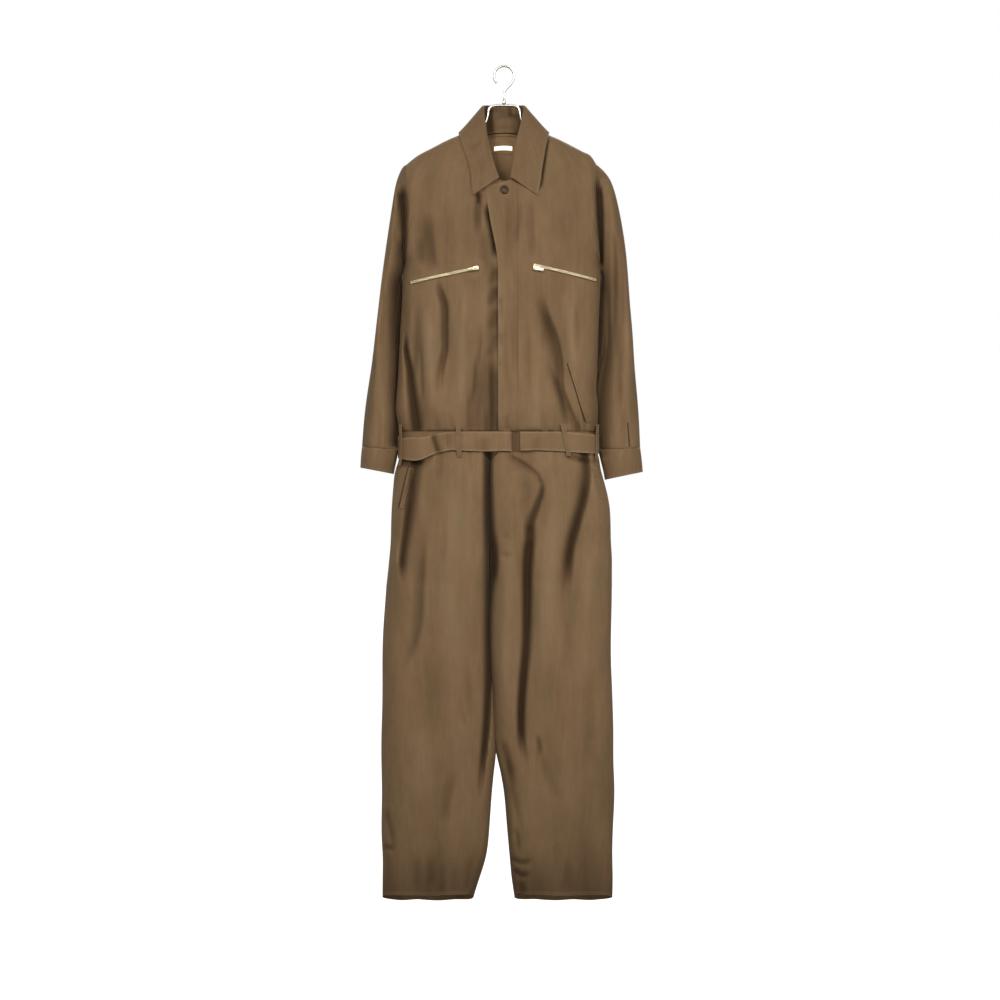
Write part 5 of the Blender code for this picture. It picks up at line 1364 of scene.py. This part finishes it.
def cast(piece: ClothPiece, spot: Vector, side: float = -1.0) -> tuple[Vector | None, Vector | None]:
    """Find the dressed cloth at a place seen from the front or the back.

    Args:
        piece: the cloth.
        spot: the place, off the cloth, in metres.
        side: -1 from the front, 1 from the back.

    Returns:
        The point hit and its normal, or nothing twice.
    """
    return piece.tree.ray_cast(spot, Vector((0.0, -side, 0.0)))[:2]


@dataclass
class Stitching:
    """Rows of stitches on the dressed cloth, in one mesh."""

    name: str
    finish: Finish = Finish.THREAD
    pitch: float = 3.1
    stamp: Stamp = field(default_factory=lambda: Stamp.bead(0.75, 0.5, 2.5))
    gaps: Pair = (0.2, 2.4)     # a stitch is this many pitches long, or it is left out
    above: float = 6.0          # the cloth is looked for from this far off its edge
    through: float = 14.0       # and over this way inwards

    def lay(self, spots: list[tuple[Vector, Vector]]) -> None:
        """Set down a stitch between each two neighbours of a row.

        Args:
            spots: the places with their normals.
        """
        shortest, longest = (share * self.pitch * MM for share in self.gaps)
        for (a, out_a), (b, out_b) in zip(spots, spots[1:]):
            if shortest < (b - a).length < longest:
                self.stamp.put(a.lerp(b, 0.5), b - a, out_a + out_b)

    def front(self, piece: ClothPiece, path: Sequence[Pair], behind: bool = False) -> None:
        """A row along a path seen from the front or the back.

        Args:
            piece: the cloth that it is sewn on.
            path: its corners as x and drop.
            behind: whether it is on the back.
        """
        side = 1.0 if behind else -1.0
        corners = [Vector((x, side * AWAY, -drop)) * MM for x, drop in path]
        row = [cast(piece, spot, side) for spot in resample(corners, self.pitch * MM)]
        self.lay([(hit, normal) for hit, normal in row if hit is not None])

    def edge(
        self, piece: ClothPiece, inset: float, drops: Pair = (-FAR, FAR), flat: float | None = None,
        sides: Pair = (-FAR, FAR),
    ) -> None:
        """Rows beside a piece's outer rim.

        Args:
            piece: the cloth.
            inset: their distance from the rim.
            drops: the rows are left out above the first and below the second.
            flat: if set, only stretches less steep than this share are sewn; below 0, only steeper ones.
            sides: the rows are left out beyond these values of x.
        """
        for chain in piece.rows:
            run = [(spot + way * inset * MM, out) for spot, way, out in chain]
            dense = []
            for (a, out_a), (b, out_b) in zip(run, run[1:]):
                steps = max(1, round((b - a).length / (self.pitch * MM)))
                slope = abs((b - a).z) / max((b - a).length, TINY)
                kept = flat is None or (slope < flat if flat > 0.0 else slope > -flat)
                for k in range(steps):
                    dense.append((a.lerp(b, k / steps), out_a.lerp(out_b, k / steps), kept))
            if not dense:
                continue
            spots = np.array([spot[:] for spot, _, _ in dense]) / MM
            moved = piece.moved(spots, piece.depths(spots)) * MM
            row = []
            for place, (_, out, kept) in zip(moved, dense):
                inside = drops[0] < -place[2] / MM < drops[1] and sides[0] < place[0] / MM < sides[1]
                hit = None
                if kept and inside:
                    start = Vector(place) + out * self.above * MM
                    hit, normal = piece.tree.ray_cast(start, -out, self.through * MM)[:2]
                if hit is None:
                    self.lay(row)
                    row = []
                else:
                    row.append((hit, normal))
            self.lay(row)

    def build(self) -> bpy.types.Object | None:
        """The finished rows, if there are any."""
        return self.stamp.build(self.name, self.finish, "linen_cotton_twill") if self.stamp.spots else None


@dataclass
class Strip:
    """A narrow turned edge of cloth sewn down on a dressed piece; tinted dark, it is painted shade along an
    opening.
    """

    name: str
    path: tuple[Pair, ...]
    width: float
    thick: float = 0.9
    step: float = 3.0
    # above FLAT the strip is darkened with painted shade
    tint: float = 0.47
    lift: float = 0.25
    shares: tuple[float, ...] = (-0.5, -0.2, 0.2, 0.5)      # of its width, where it has points

    def build(self, piece: ClothPiece) -> bpy.types.Object:
        """Lay the strip along its path on the front of a piece.

        Args:
            piece: the cloth that it lies on.

        Returns:
            The strip.
        """
        spots = resample([Vector((x, -AWAY, -drop)) * MM for x, drop in self.path], self.step * MM)
        mesh = bmesh.new()
        rows = []
        for k, spot in enumerate(spots):
            run = (spots[min(k + 1, len(spots) - 1)] - spots[max(k - 1, 0)]).normalized()
            side = Vector((run.z, 0.0, -run.x))
            hits = [cast(piece, spot + side * share * self.width * MM) for share in self.shares]
            rows.append([mesh.verts.new(hit + normal * self.lift * MM) for hit, normal in hits])
        for a, b in zip(rows, rows[1:]):
            for k in range(len(self.shares) - 1):
                mesh.faces.new((a[k], a[k + 1], b[k + 1], b[k]))
        bmesh.ops.recalc_face_normals(mesh, faces=mesh.faces)
        outward = sum((face.normal for face in mesh.faces), Vector())
        sense = -1.0 if outward.y < 0.0 else 1.0
        bmesh.ops.solidify(mesh, geom=mesh.faces[:], thickness=sense * self.thick * MM)
        bmesh.ops.recalc_face_normals(mesh, faces=mesh.faces)
        item = mesh_object(self.name, mesh, Finish.TRIM)
        points = read_points(item.data)
        write_grain(item.data, points[:, 0], points[:, 2])
        write_tint(item.data, np.full(len(points), self.tint))
        shade(item, 50.0)
        return rest_on(item, "linen_cotton_trim")


def hard_copy(node: str, finish: Finish, bevel: float, body: str = "root") -> bpy.types.Object:
    """A metal part with the solid's own form and rounded edges.

    Args:
        node: the solid.
        finish: the metal.
        bevel: the rounding's width in millimetres.
        body: the body that it moves with.

    Returns:
        The object, in place of the solid.
    """
    mesh = solid_mesh(node)
    bmesh.ops.dissolve_limit(mesh, angle_limit=math.radians(1.0), verts=mesh.verts, edges=mesh.edges)
    sharp = [edge for edge in mesh.edges if edge.calc_face_angle(0.0) > math.radians(30.0)]
    bmesh.ops.bevel(
        mesh, geom=sharp, offset=bevel * MM, segments=2, profile=0.5, affect="EDGES", material=-1,
        clamp_overlap=True,
    )
    item = mesh_object(f"metal_{node}", mesh, finish)
    shade(item, 35.0)
    return rest_on(item, finish.value.name, node, body=body)


def round_copy(node: str, finish: Finish, levels: int) -> bpy.types.Object:
    """A turned or bent metal part, smoothed through the solid's own points.

    Args:
        node: the solid.
        finish: the metal.
        levels: how often it is divided.

    Returns:
        The object, in place of the solid.
    """
    data = rounded(f"metal_{node}", control_mesh(node), levels, finish)
    item = mesh_object(f"metal_{node}", data, finish)
    shade(item, 50.0)
    return rest_on(item, finish.value.name, node)


# ---------------------------------------------------------------- studio


@dataclass
class Studio:
    """White floor and background, soft lights and the camera."""

    aim: Triple = (-0.0076, 0.0, -0.8224)
    distance: float = 7.0
    view_width: float = 1.9
    floor_drop: float = 1.95
    floor_radius: float = 40.0
    sensor: float = 36.0
    spots: tuple[tuple[str, Triple, Triple, float, float, float], ...] = (
        # name, place, what it is aimed at, radius, cone in degrees and power in watts
        ("key", (-1.2, -4.0, 1.5), (0.08, 0.0, -0.68), 0.40, 35.0, 280.0),
        ("front", (1.25, -4.25, 0.3), (0.12, 0.0, -0.72), 1.1, 38.0, 640.0),
        ("back", (0.9, 3.9, 1.4), (0.0, 0.0, -0.80), 0.7, 42.0, 420.0),
        ("back_fill", (-3.0, 2.6, 0.3), (0.0, 0.0, -0.80), 0.7, 42.0, 120.0),
    )
    glows: tuple[tuple[str, float, float, float], ...] = (      # inside the suit: name, x, z and power
        ("neck", 0.004, -0.165, 0.07), ("hem_left", -0.144, -1.50, 0.12), ("hem_right", 0.111, -1.50, 0.12),
    )
    glow_radius: float = 0.02

    def build(self) -> None:
        """Make the floor, the lights and the camera."""
        self.floor()
        self.world()
        self.lights()
        self.camera()
        bpy.context.scene.view_settings.view_transform = "Standard"

    def floor(self) -> None:
        """A wide white floor that reaches the horizon."""
        mesh = bmesh.new()
        bmesh.ops.create_circle(
            mesh, cap_ends=True, segments=64, radius=self.floor_radius,
            matrix=Matrix.Translation((0.0, 0.0, -self.floor_drop)),
        )
        item = mesh_object("paper_floor", mesh, Finish.PAPER)
        item.visible_diffuse = False
        item.visible_glossy = False

    def world(self) -> None:
        """White to the eye, brighter above than below in reflections, and a dim grey light."""
        world = bpy.data.worlds.new("studio")
        bpy.context.scene.world = world
        world.use_nodes = True
        tree = world.node_tree
        ground = tree.nodes["Background"]
        way = add_node(tree, "TexCoord").outputs["Generated"]
        height = add_node(tree, "SeparateXYZ", (way,)).outputs[2]
        light = add_node(tree, "MapRange", (height, -0.7, 0.8, 0.10, 0.34)).outputs[0]
        mirror = add_node(tree, "MapRange", (height, -0.5, 0.6, 0.12, 0.85)).outputs[0]
        path = add_node(tree, "LightPath").outputs
        strength = path["Is Glossy Ray"]
        steps = ((mirror, "MULTIPLY"), (path["Is Camera Ray"], "MAXIMUM"), (light, "MAXIMUM"))
        for other, operation in steps:
            strength = add_node(tree, "Math", (strength, other), operation=operation).outputs[0]
        tree.links.new(strength, ground.inputs["Strength"])
        ground.inputs["Color"].default_value = (1.0, 1.0, 1.0, 1.0)

    def lights(self) -> None:
        """A key from the left and above, a wide one from the front and right, two behind, and the
        small ones inside for what comes through the cloth."""
        for name, spot, aim, radius, cone, power in self.spots:
            light = bpy.data.lights.new(name, "SPOT")
            light.shadow_soft_size = radius
            light.spot_size = math.radians(cone)
            light.spot_blend = 1.0
            light.energy = power
            item = link_new(name, light)
            item.location = spot
            item.rotation_euler = (Vector(aim) - Vector(spot)).to_track_quat("-Z", "Y").to_euler()
        for name, across, height, power in self.glows:
            light = bpy.data.lights.new(name, "POINT")
            light.shadow_soft_size = self.glow_radius
            light.energy = power
            item = link_new(name, light)
            item.location = (across, 0.0, height)
            item.visible_camera = False
            item.visible_glossy = False

    def camera(self) -> None:
        """A long lens square on the suit's front."""
        data = bpy.data.cameras.new("front")
        data.sensor_width = self.sensor
        data.lens = self.sensor * self.distance / self.view_width
        data.clip_end = 2.0 * self.floor_radius
        item = link_new("front", data)
        item.location = Vector(self.aim) - Vector((0.0, self.distance, 0.0))
        item.rotation_euler = (math.radians(90.0), 0.0, 0.0)
        bpy.context.scene.camera = item


# ---------------------------------------------------------------- suit


@dataclass
class Section:
    """One part of the suit: cloth pieces kept by the name of their solid."""

    pieces: dict[str, ClothPiece] = field(default_factory=dict)

    def lay(self, *rows: ClothPiece) -> None:
        """Build cloth pieces and keep them.

        Args:
            rows: the pieces.
        """
        for piece in rows:
            piece.build()
            self.pieces[piece.node] = piece

    def cut(
        self, held: str, rests_on: str, sewn_on: dict[str, list[bpy.types.Object]] | None = None,
    ) -> None:
        """Do nothing with how the pieces are held and what is sewn on them.

        Args:
            held: how the pieces are held; not used.
            rests_on: the name of what they hang from or lie on; not used.
            sewn_on: the small pieces on them, by the name of the piece's solid; not used.
        """


@dataclass
class Bodice(Section):
    """Fronts, back, placket, facing, label, slit welt and a dark strip of painted shade in the slit."""

    def build(self) -> None:
        """Lay every piece over its solid and sew it."""
        low = WAIST + 2.0
        self.lay(
            ClothPiece("front_left", LEFT_FRONT, 3, flat=(0.27, 0.58), area=0.137, hold_bottom=low),
            ClothPiece("front_right", BODICE, 3, flat=(0.22, 0.58), area=0.108, hold_bottom=low),
            ClothPiece("placket", PLACKET, 3, flat=(0.062, 0.49), area=0.0225, hold_bottom=low,
                       rubbed=0.8, worn=(-80.0, 10.0, 0.0, 900.0), axis=(-10.0, 200.0)),
            ClothPiece("back", BODICE, 2, flat=(0.46, 0.62), area=0.25, hold_bottom=low, inside=0.0,
                       shaded=NECK_SHADE),
            ClothPiece("neck_facing", INNER_NECK, 2, Finish.TRIM, (0.10, 0.04), 0.0034, inside=0.0,
                       shaded=NECK_SHADE),
            ClothPiece("label", INNER_NECK, 2, Finish.LABEL, axis=(0.0, 90.0)),
            ClothPiece("slit_welt_right", BODICE, 3, Finish.TRIM, axis=(130.0, 200.0), rubbed=0.35, lift=0.2),
        )
        # a dark strip of painted shade in the slit pocket's opening
        slit = Strip("slit_opening", ((119.5, 565), (136.0, 620), (152.5, 676)), 3.0, 0.3, tint=0.92)
        opening = slit.build(self.pieces["front_right"])
        self.cut("hung", "metal_hanger", {
            "front_right": [self.pieces["slit_welt_right"].item, opening],
            "neck_facing": [self.pieces["label"].item],
        })
        self.sew()

    def sew(self) -> None:
        """Stitches of the placket, the shoulder seams, the slit and the neck."""
        rows = Stitching("stitches_bodice")
        rows.edge(self.pieces["placket"], 3.0, (225.0, 690.0), sides=(-60.0, 12.0))
        rows.edge(self.pieces["slit_welt_right"], 1.6)
        rows.front(self.pieces["front_left"], [(-185, 188), (-160, 168), (-110, 141), (-86, 131)])
        rows.front(self.pieces["front_right"], [(86, 131), (110, 141), (160, 168), (180, 184)])
        rows.front(self.pieces["back"], [(-184, 190), (-110, 144), (-72, 128)], behind=True)
        rows.front(self.pieces["back"], [(72, 128), (110, 144), (176, 184)], behind=True)
        rows.edge(self.pieces["neck_facing"], 1.8, (150.0, 170.0))
        rows.build()


@dataclass
class Sleeves(Section):
    """Both sleeves, their cuffs and a dark strip of painted shade in the slit above the right one."""

    def build(self) -> None:
        """Lay every piece over its solid and sew it."""
        left, right = (-228.0, 4.0), (218.0, 4.0)
        self.lay(
            ClothPiece("sleeve_left", LEFT_SLEEVE, 3, flat=(0.30, 0.51), area=0.127, axis=left),
            ClothPiece("sleeve_right", RIGHT_SLEEVE, 3, flat=(0.32, 0.51), area=0.137, axis=right),
            ClothPiece("cuff_left", LEFT_SLEEVE, 3, Finish.TRIM, (0.24, 0.047), 0.0108, axis=(-240.0, 5.0),
                       rubbed=0.35, scale=0.35, paint=0.5),
            ClothPiece("cuff_right", RIGHT_SLEEVE, 3, Finish.TRIM, (0.27, 0.052), 0.0135, axis=(225.0, 5.0),
                       rubbed=0.35, scale=0.35, paint=0.5),
        )
        # a dark strip of painted shade in the slit above the cuff
        slit = Strip("cuff_slit", ((233.5, 676), (235.5, 700), (237.0, 722)), 2.4, 0.35, tint=0.9)
        self.cut("hung", "cloth_back", {"sleeve_right": [slit.build(self.pieces["sleeve_right"])]})
        rows = Stitching("stitches_sleeves")
        for name in ("cuff_left", "cuff_right"):
            rows.edge(self.pieces[name], 2.6, flat=0.7)
            rows.edge(self.pieces[name], 6.0, (740.0, 800.0), flat=0.7)
        for name in ("sleeve_left", "sleeve_right"):
            rows.edge(self.pieces[name], 3.0, (150.0, 420.0))
        rows.build()


@dataclass
class Collar(Section):
    """The folded collar, which the button closes."""

    def build(self) -> None:
        """Lay the collar over its solid and sew its edge."""
        self.lay(ClothPiece("collar", COLLAR, 3, Finish.TRIM, (0.46, 0.12), 0.048, axis=(0.0, 8.0),
                            rubbed=0.6, worn=(40.0, 400.0, 0.0, 900.0), scale=0.6, inside=0.12,
                            shaded=NECK_SHADE))
        self.cut("folded", "cloth_back")
        rows = Stitching("stitches_collar")
        rows.edge(self.pieces["collar"], 3.2)
        rows.build()


@dataclass
class Button:
    """A dished horn button with four holes, sewn on with a cross of thread."""

    x: float = 1.0
    drop: float = 238.0
    hole: float = 1.7       # distance of each hole from the middle, across and up
    dish: float = 1.85      # height of the dished face above the back
    raised: float = 0.35    # how far the thread stands off the face
    profile: tuple[Pair, ...] = (
        (0.0, 0.0), (6.6, 0.0), (7.6, 0.5), (8.0, 1.2), (7.9, 2.0), (7.4, 2.7), (6.6, 3.0), (5.7, 2.8),
        (5.0, 2.1), (4.4, 1.9), (0.0, 1.85),
    )                       # radius and height, from the middle of the back to that of the face

    def build(self) -> None:
        """Turn the button, put dark beads of painted shade where its holes are and cross the thread."""
        back = read_points(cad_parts["button"].data)[:, 1].max()
        middle = Vector((self.x * MM, back * MM, -self.drop * MM))
        mesh = bmesh.new()
        verts = [mesh.verts.new((radius * MM, -height * MM, 0.0)) for radius, height in self.profile]
        edges = [mesh.edges.new(pair) for pair in zip(verts, verts[1:])]
        bmesh.ops.spin(
            mesh, geom=verts + edges, cent=(0, 0, 0), axis=(0, 1, 0), angle=2.0 * math.pi, steps=48,
            use_merge=True,
        )
        bmesh.ops.remove_doubles(mesh, verts=mesh.verts, dist=1e-6)
        bmesh.ops.recalc_face_normals(mesh, faces=mesh.faces)
        bmesh.ops.translate(mesh, vec=middle, verts=mesh.verts)
        item = mesh_object("horn_button", mesh, Finish.HORN)
        shade(item, 50.0)
        rest_on(item, "dark_horn", "button")
        self.holes(middle)

    def holes(self, middle: Vector) -> None:
        """Dark beads of painted shade where the holes are, and the thread that passes through them.

        Args:
            middle: the middle of the button's back.
        """
        out = Vector((0.0, -1.0, 0.0))
        face = middle + Vector((0.0, -self.dish * MM, 0.0))
        # dark beads of painted shade stand for the holes
        hole_shades = Stamp.bead(1.5, 0.5, 1.5)
        thread = Stamp.bead(0.65, 0.6, 3.6)
        hole = self.hole * MM
        ways = ((-hole, -hole), (hole, -hole), (hole, hole), (-hole, hole))
        corners = [Vector((a, 0.0, b)) for a, b in ways]
        for corner in corners:
            hole_shades.put(face + corner, Vector((0.0, 0.0, 1.0)), out)
        for a, b in (corners[::2], corners[1::2]):
            thread.put(face + out * self.raised * MM + (a + b) * 0.5, b - a, out)
        hole_shades.build("button_eyelets", Finish.DARK_THREAD, "dark_horn")
        thread.build("button_thread", Finish.THREAD, "dark_horn")


@dataclass
class Zip:
    """One breast zip: woven tape, two rows of teeth, end stops, slider and pull."""

    side: str
    relief: Relief
    pitch: float = 2.1
    tooth: Triple = (3.1, 1.3, 1.25)    # across, out and along
    stop: Triple = (5.6, 1.7, 2.2)
    offset: float = 1.25                # of each row of teeth from the middle
    lift: Pair = (0.2, 0.3)             # how far the teeth and the stops stand off the tape
    sunk: float = 0.8                   # how far the tape lies below the cloth
    end: float = 1.0                    # how far the teeth stay off the ends of the tape

    def build(self) -> None:
        """Lay the tape on the chest, set the teeth on it and put the slider in place."""
        tape = ClothPiece(
            f"zip_chain_{self.side}", self.relief, 2, Finish.ZIP_TAPE, axis=(0.0, 200.0), lift=-self.sunk,
        )
        tape.build()
        teeth = Stamp.block(*self.tooth, 0.22)
        stops = Stamp.block(*self.stop, 0.4)
        line = self.middle(tape)
        for k, (spot, along, out) in enumerate(line):
            across = out.cross(along).normalized() * (1.0 if k % 2 else -1.0)
            teeth.put(spot + across * self.offset * MM + out * self.lift[0] * MM, along, out)
        for spot, along, out in (line[0], line[-1]):
            stops.put(spot + out * self.lift[1] * MM, along, out)
        teeth.build(f"zip_teeth_{self.side}", Finish.BRASS, "pale_brass")
        stops.build(f"zip_stops_{self.side}", Finish.BRASS, "pale_brass")
        hard_copy(f"zip_slider_{self.side}", Finish.BRASS, 0.35)
        hard_copy(f"zip_pull_{self.side}", Finish.BRASS, 0.28, f"pull_{self.side}")

    def middle(self, tape: ClothPiece) -> list[Place]:
        """Places along the middle of the tape, each with its way along and its outward normal.

        Args:
            tape: the dressed tape.

        Returns:
            The places, from the inner end to the outer one.
        """
        points = read_points(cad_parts[tape.node].data)
        xs, drops = points[:, 0], -points[:, 2]
        fit = np.polyfit(xs, drops, 1)
        gaps = drops - np.polyval(fit, xs)
        half = 0.5 * (gaps.max() + gaps.min())
        ends = (xs.min() + self.end, xs.max() - self.end)
        if self.side == "left":
            ends = ends[::-1]
        corners = [Vector((x, -AWAY, -(np.polyval(fit, x) + half))) * MM for x in ends]
        hits = [cast(tape, spot) for spot in resample(corners, 0.5 * self.pitch * MM)]
        hits = [(hit, normal) for hit, normal in hits if hit is not None]
        result = []
        for k in range(1, len(hits) - 1):
            along = (hits[k + 1][0] - hits[k - 1][0]).normalized()
            out = sum((normal for _, normal in hits[max(0, k - 3):k + 4]), Vector()).normalized()
            result.append((hits[k][0], along, out))
        return result


@dataclass
class Waist(Section):
    """Waistband, belt and loops."""

    def build(self) -> None:
        """Lay every piece over its solid and sew it."""
        loops = [
            ClothPiece(f"loop_{place}_{side}", PLAIN, 2, Finish.TRIM, rubbed=0.4)
            for place in ("front", "side", "back") for side in ("left", "right")
        ]
        band = ClothPiece("waistband", BAND, 2, Finish.TRIM, (0.88, 0.041), 0.0355, paint=0.5, scale=0.2)
        belt = ClothPiece(
            "belt", BELT, 3, Finish.TWILL, (0.98, 0.0365), 0.0355, rubbed=0.9, scale=0.35, paint=1.8,
        )
        self.lay(band, belt, *loops)
        rows = Stitching("stitches_belt")
        rows.edge(belt, 2.6)
        for piece in loops:
            rows.edge(piece, 1.6, flat=-0.7)
        rows.build()
        tacks = Stitching("bar_tacks", Finish.DARK_THREAD, pitch=0.9, stamp=Stamp.bead(0.6, 0.5, 1.2))
        for piece in loops:
            tacks.edge(piece, 2.4, flat=0.7)
        tacks.build()


@dataclass
class Legs(Section):
    """Trouser fronts and backs, the edges of the hip pockets and a dark strip of painted shade in the left
    pocket.
    """

    def build(self) -> None:
        """Lay every piece over its solid and sew it."""
        high = 728.0
        low, hem = 1430.0, 1600.0       # painted shade darkens the legs from one drop to the other
        hem_edge = (-400.0, 400.0, 1560.0, 1620.0)
        fronts, backs, pockets = [], [], []
        for side, leg, middle, pocket, width, front_area, back_area in (
            ("left", LEFT_LEG, -128.0, -180.0, 0.29, 0.242, 0.24),
            ("right", RIGHT_LEG, 92.0, 180.0, 0.31, 0.258, 0.256),
        ):
            hung = replace(leg, nudge=leg.nudge + FRONT_HEM)
            both = {"flat": (width, 0.87), "hold_top": high, "axis": (middle, 0.0)}
            fronts.append(ClothPiece(
                f"trouser_front_{side}", hung, 3, area=front_area, dim=(low, hem, 0.26), rubbed=0.6,
                worn=hem_edge, **both,
            ))
            backs.append(ClothPiece(
                f"trouser_back_{side}", leg, 2, area=back_area, dim=(low, hem, 0.12), rubbed=0.3,
                inside=0.0, **both,
            ))
            pockets.append(ClothPiece(
                f"hip_pocket_{side}", leg, 3, Finish.TRIM, axis=(pocket, 200.0), rubbed=0.5, lift=0.3,
            ))
        self.lay(*fronts, *backs, *pockets)
        # a dark strip of painted shade in the left hip pocket
        mouth = Strip("hip_mouth", ((-180, 758), (-187, 786), (-199, 838)), 2.2, 0.3, tint=0.9)
        left, right = (self.pieces[f"hip_pocket_{side}"].item for side in ("left", "right"))
        self.cut("hung", "cloth_waistband", {
            "trouser_front_left": [left, mouth.build(self.pieces["trouser_front_left"])],
            "trouser_front_right": [right],
        })
        self.sew()

    def sew(self) -> None:
        """Stitches of the hems, the pockets and the curved fly."""
        rows = Stitching("stitches_trousers")
        for name, piece in self.pieces.items():
            if name.startswith("hip_pocket"):
                rows.edge(piece, 1.6)
            else:
                rows.edge(piece, 4.5, (1540.0, 1620.0), flat=0.6)
        rows.front(
            self.pieces["trouser_front_left"],
            [(-74, 748), (-75, 830), (-74, 866), (-68, 884), (-58, 893), (-44, 900)],
        )
        rows.front(self.pieces["trouser_front_left"], [(-72, 854), (-46, 855)])
        rows.build()


@dataclass
class Hanger:
    """The bent rod with its ferrule and hook."""

    def build(self) -> None:
        """Smooth the three metal parts through their solids."""
        for node, levels in (("hanger", 3), ("hook", 3), ("ferrule", 2)):
            round_copy(node, Finish.NICKEL, levels)


def main() -> None:
    """Dress the suit part by part and set up the studio."""
    logging.basicConfig(level=logging.INFO, format="%(name)s %(message)s")
    Studio().build()
    Hanger().build()
    for section in (Bodice(), Sleeves(), Collar(), Button(), Waist(), Legs()):
        section.build()
    for side, relief in (("left", LEFT_FRONT), ("right", BODICE)):
        Zip(side, relief).build()
    shown = [item.data for item in bpy.data.objects if item.type == "MESH" and not item.hide_render]
    LOG.info("triangles in all: %d", sum(triangles(data) for data in shown))


if __name__ == "__main__":
    main()
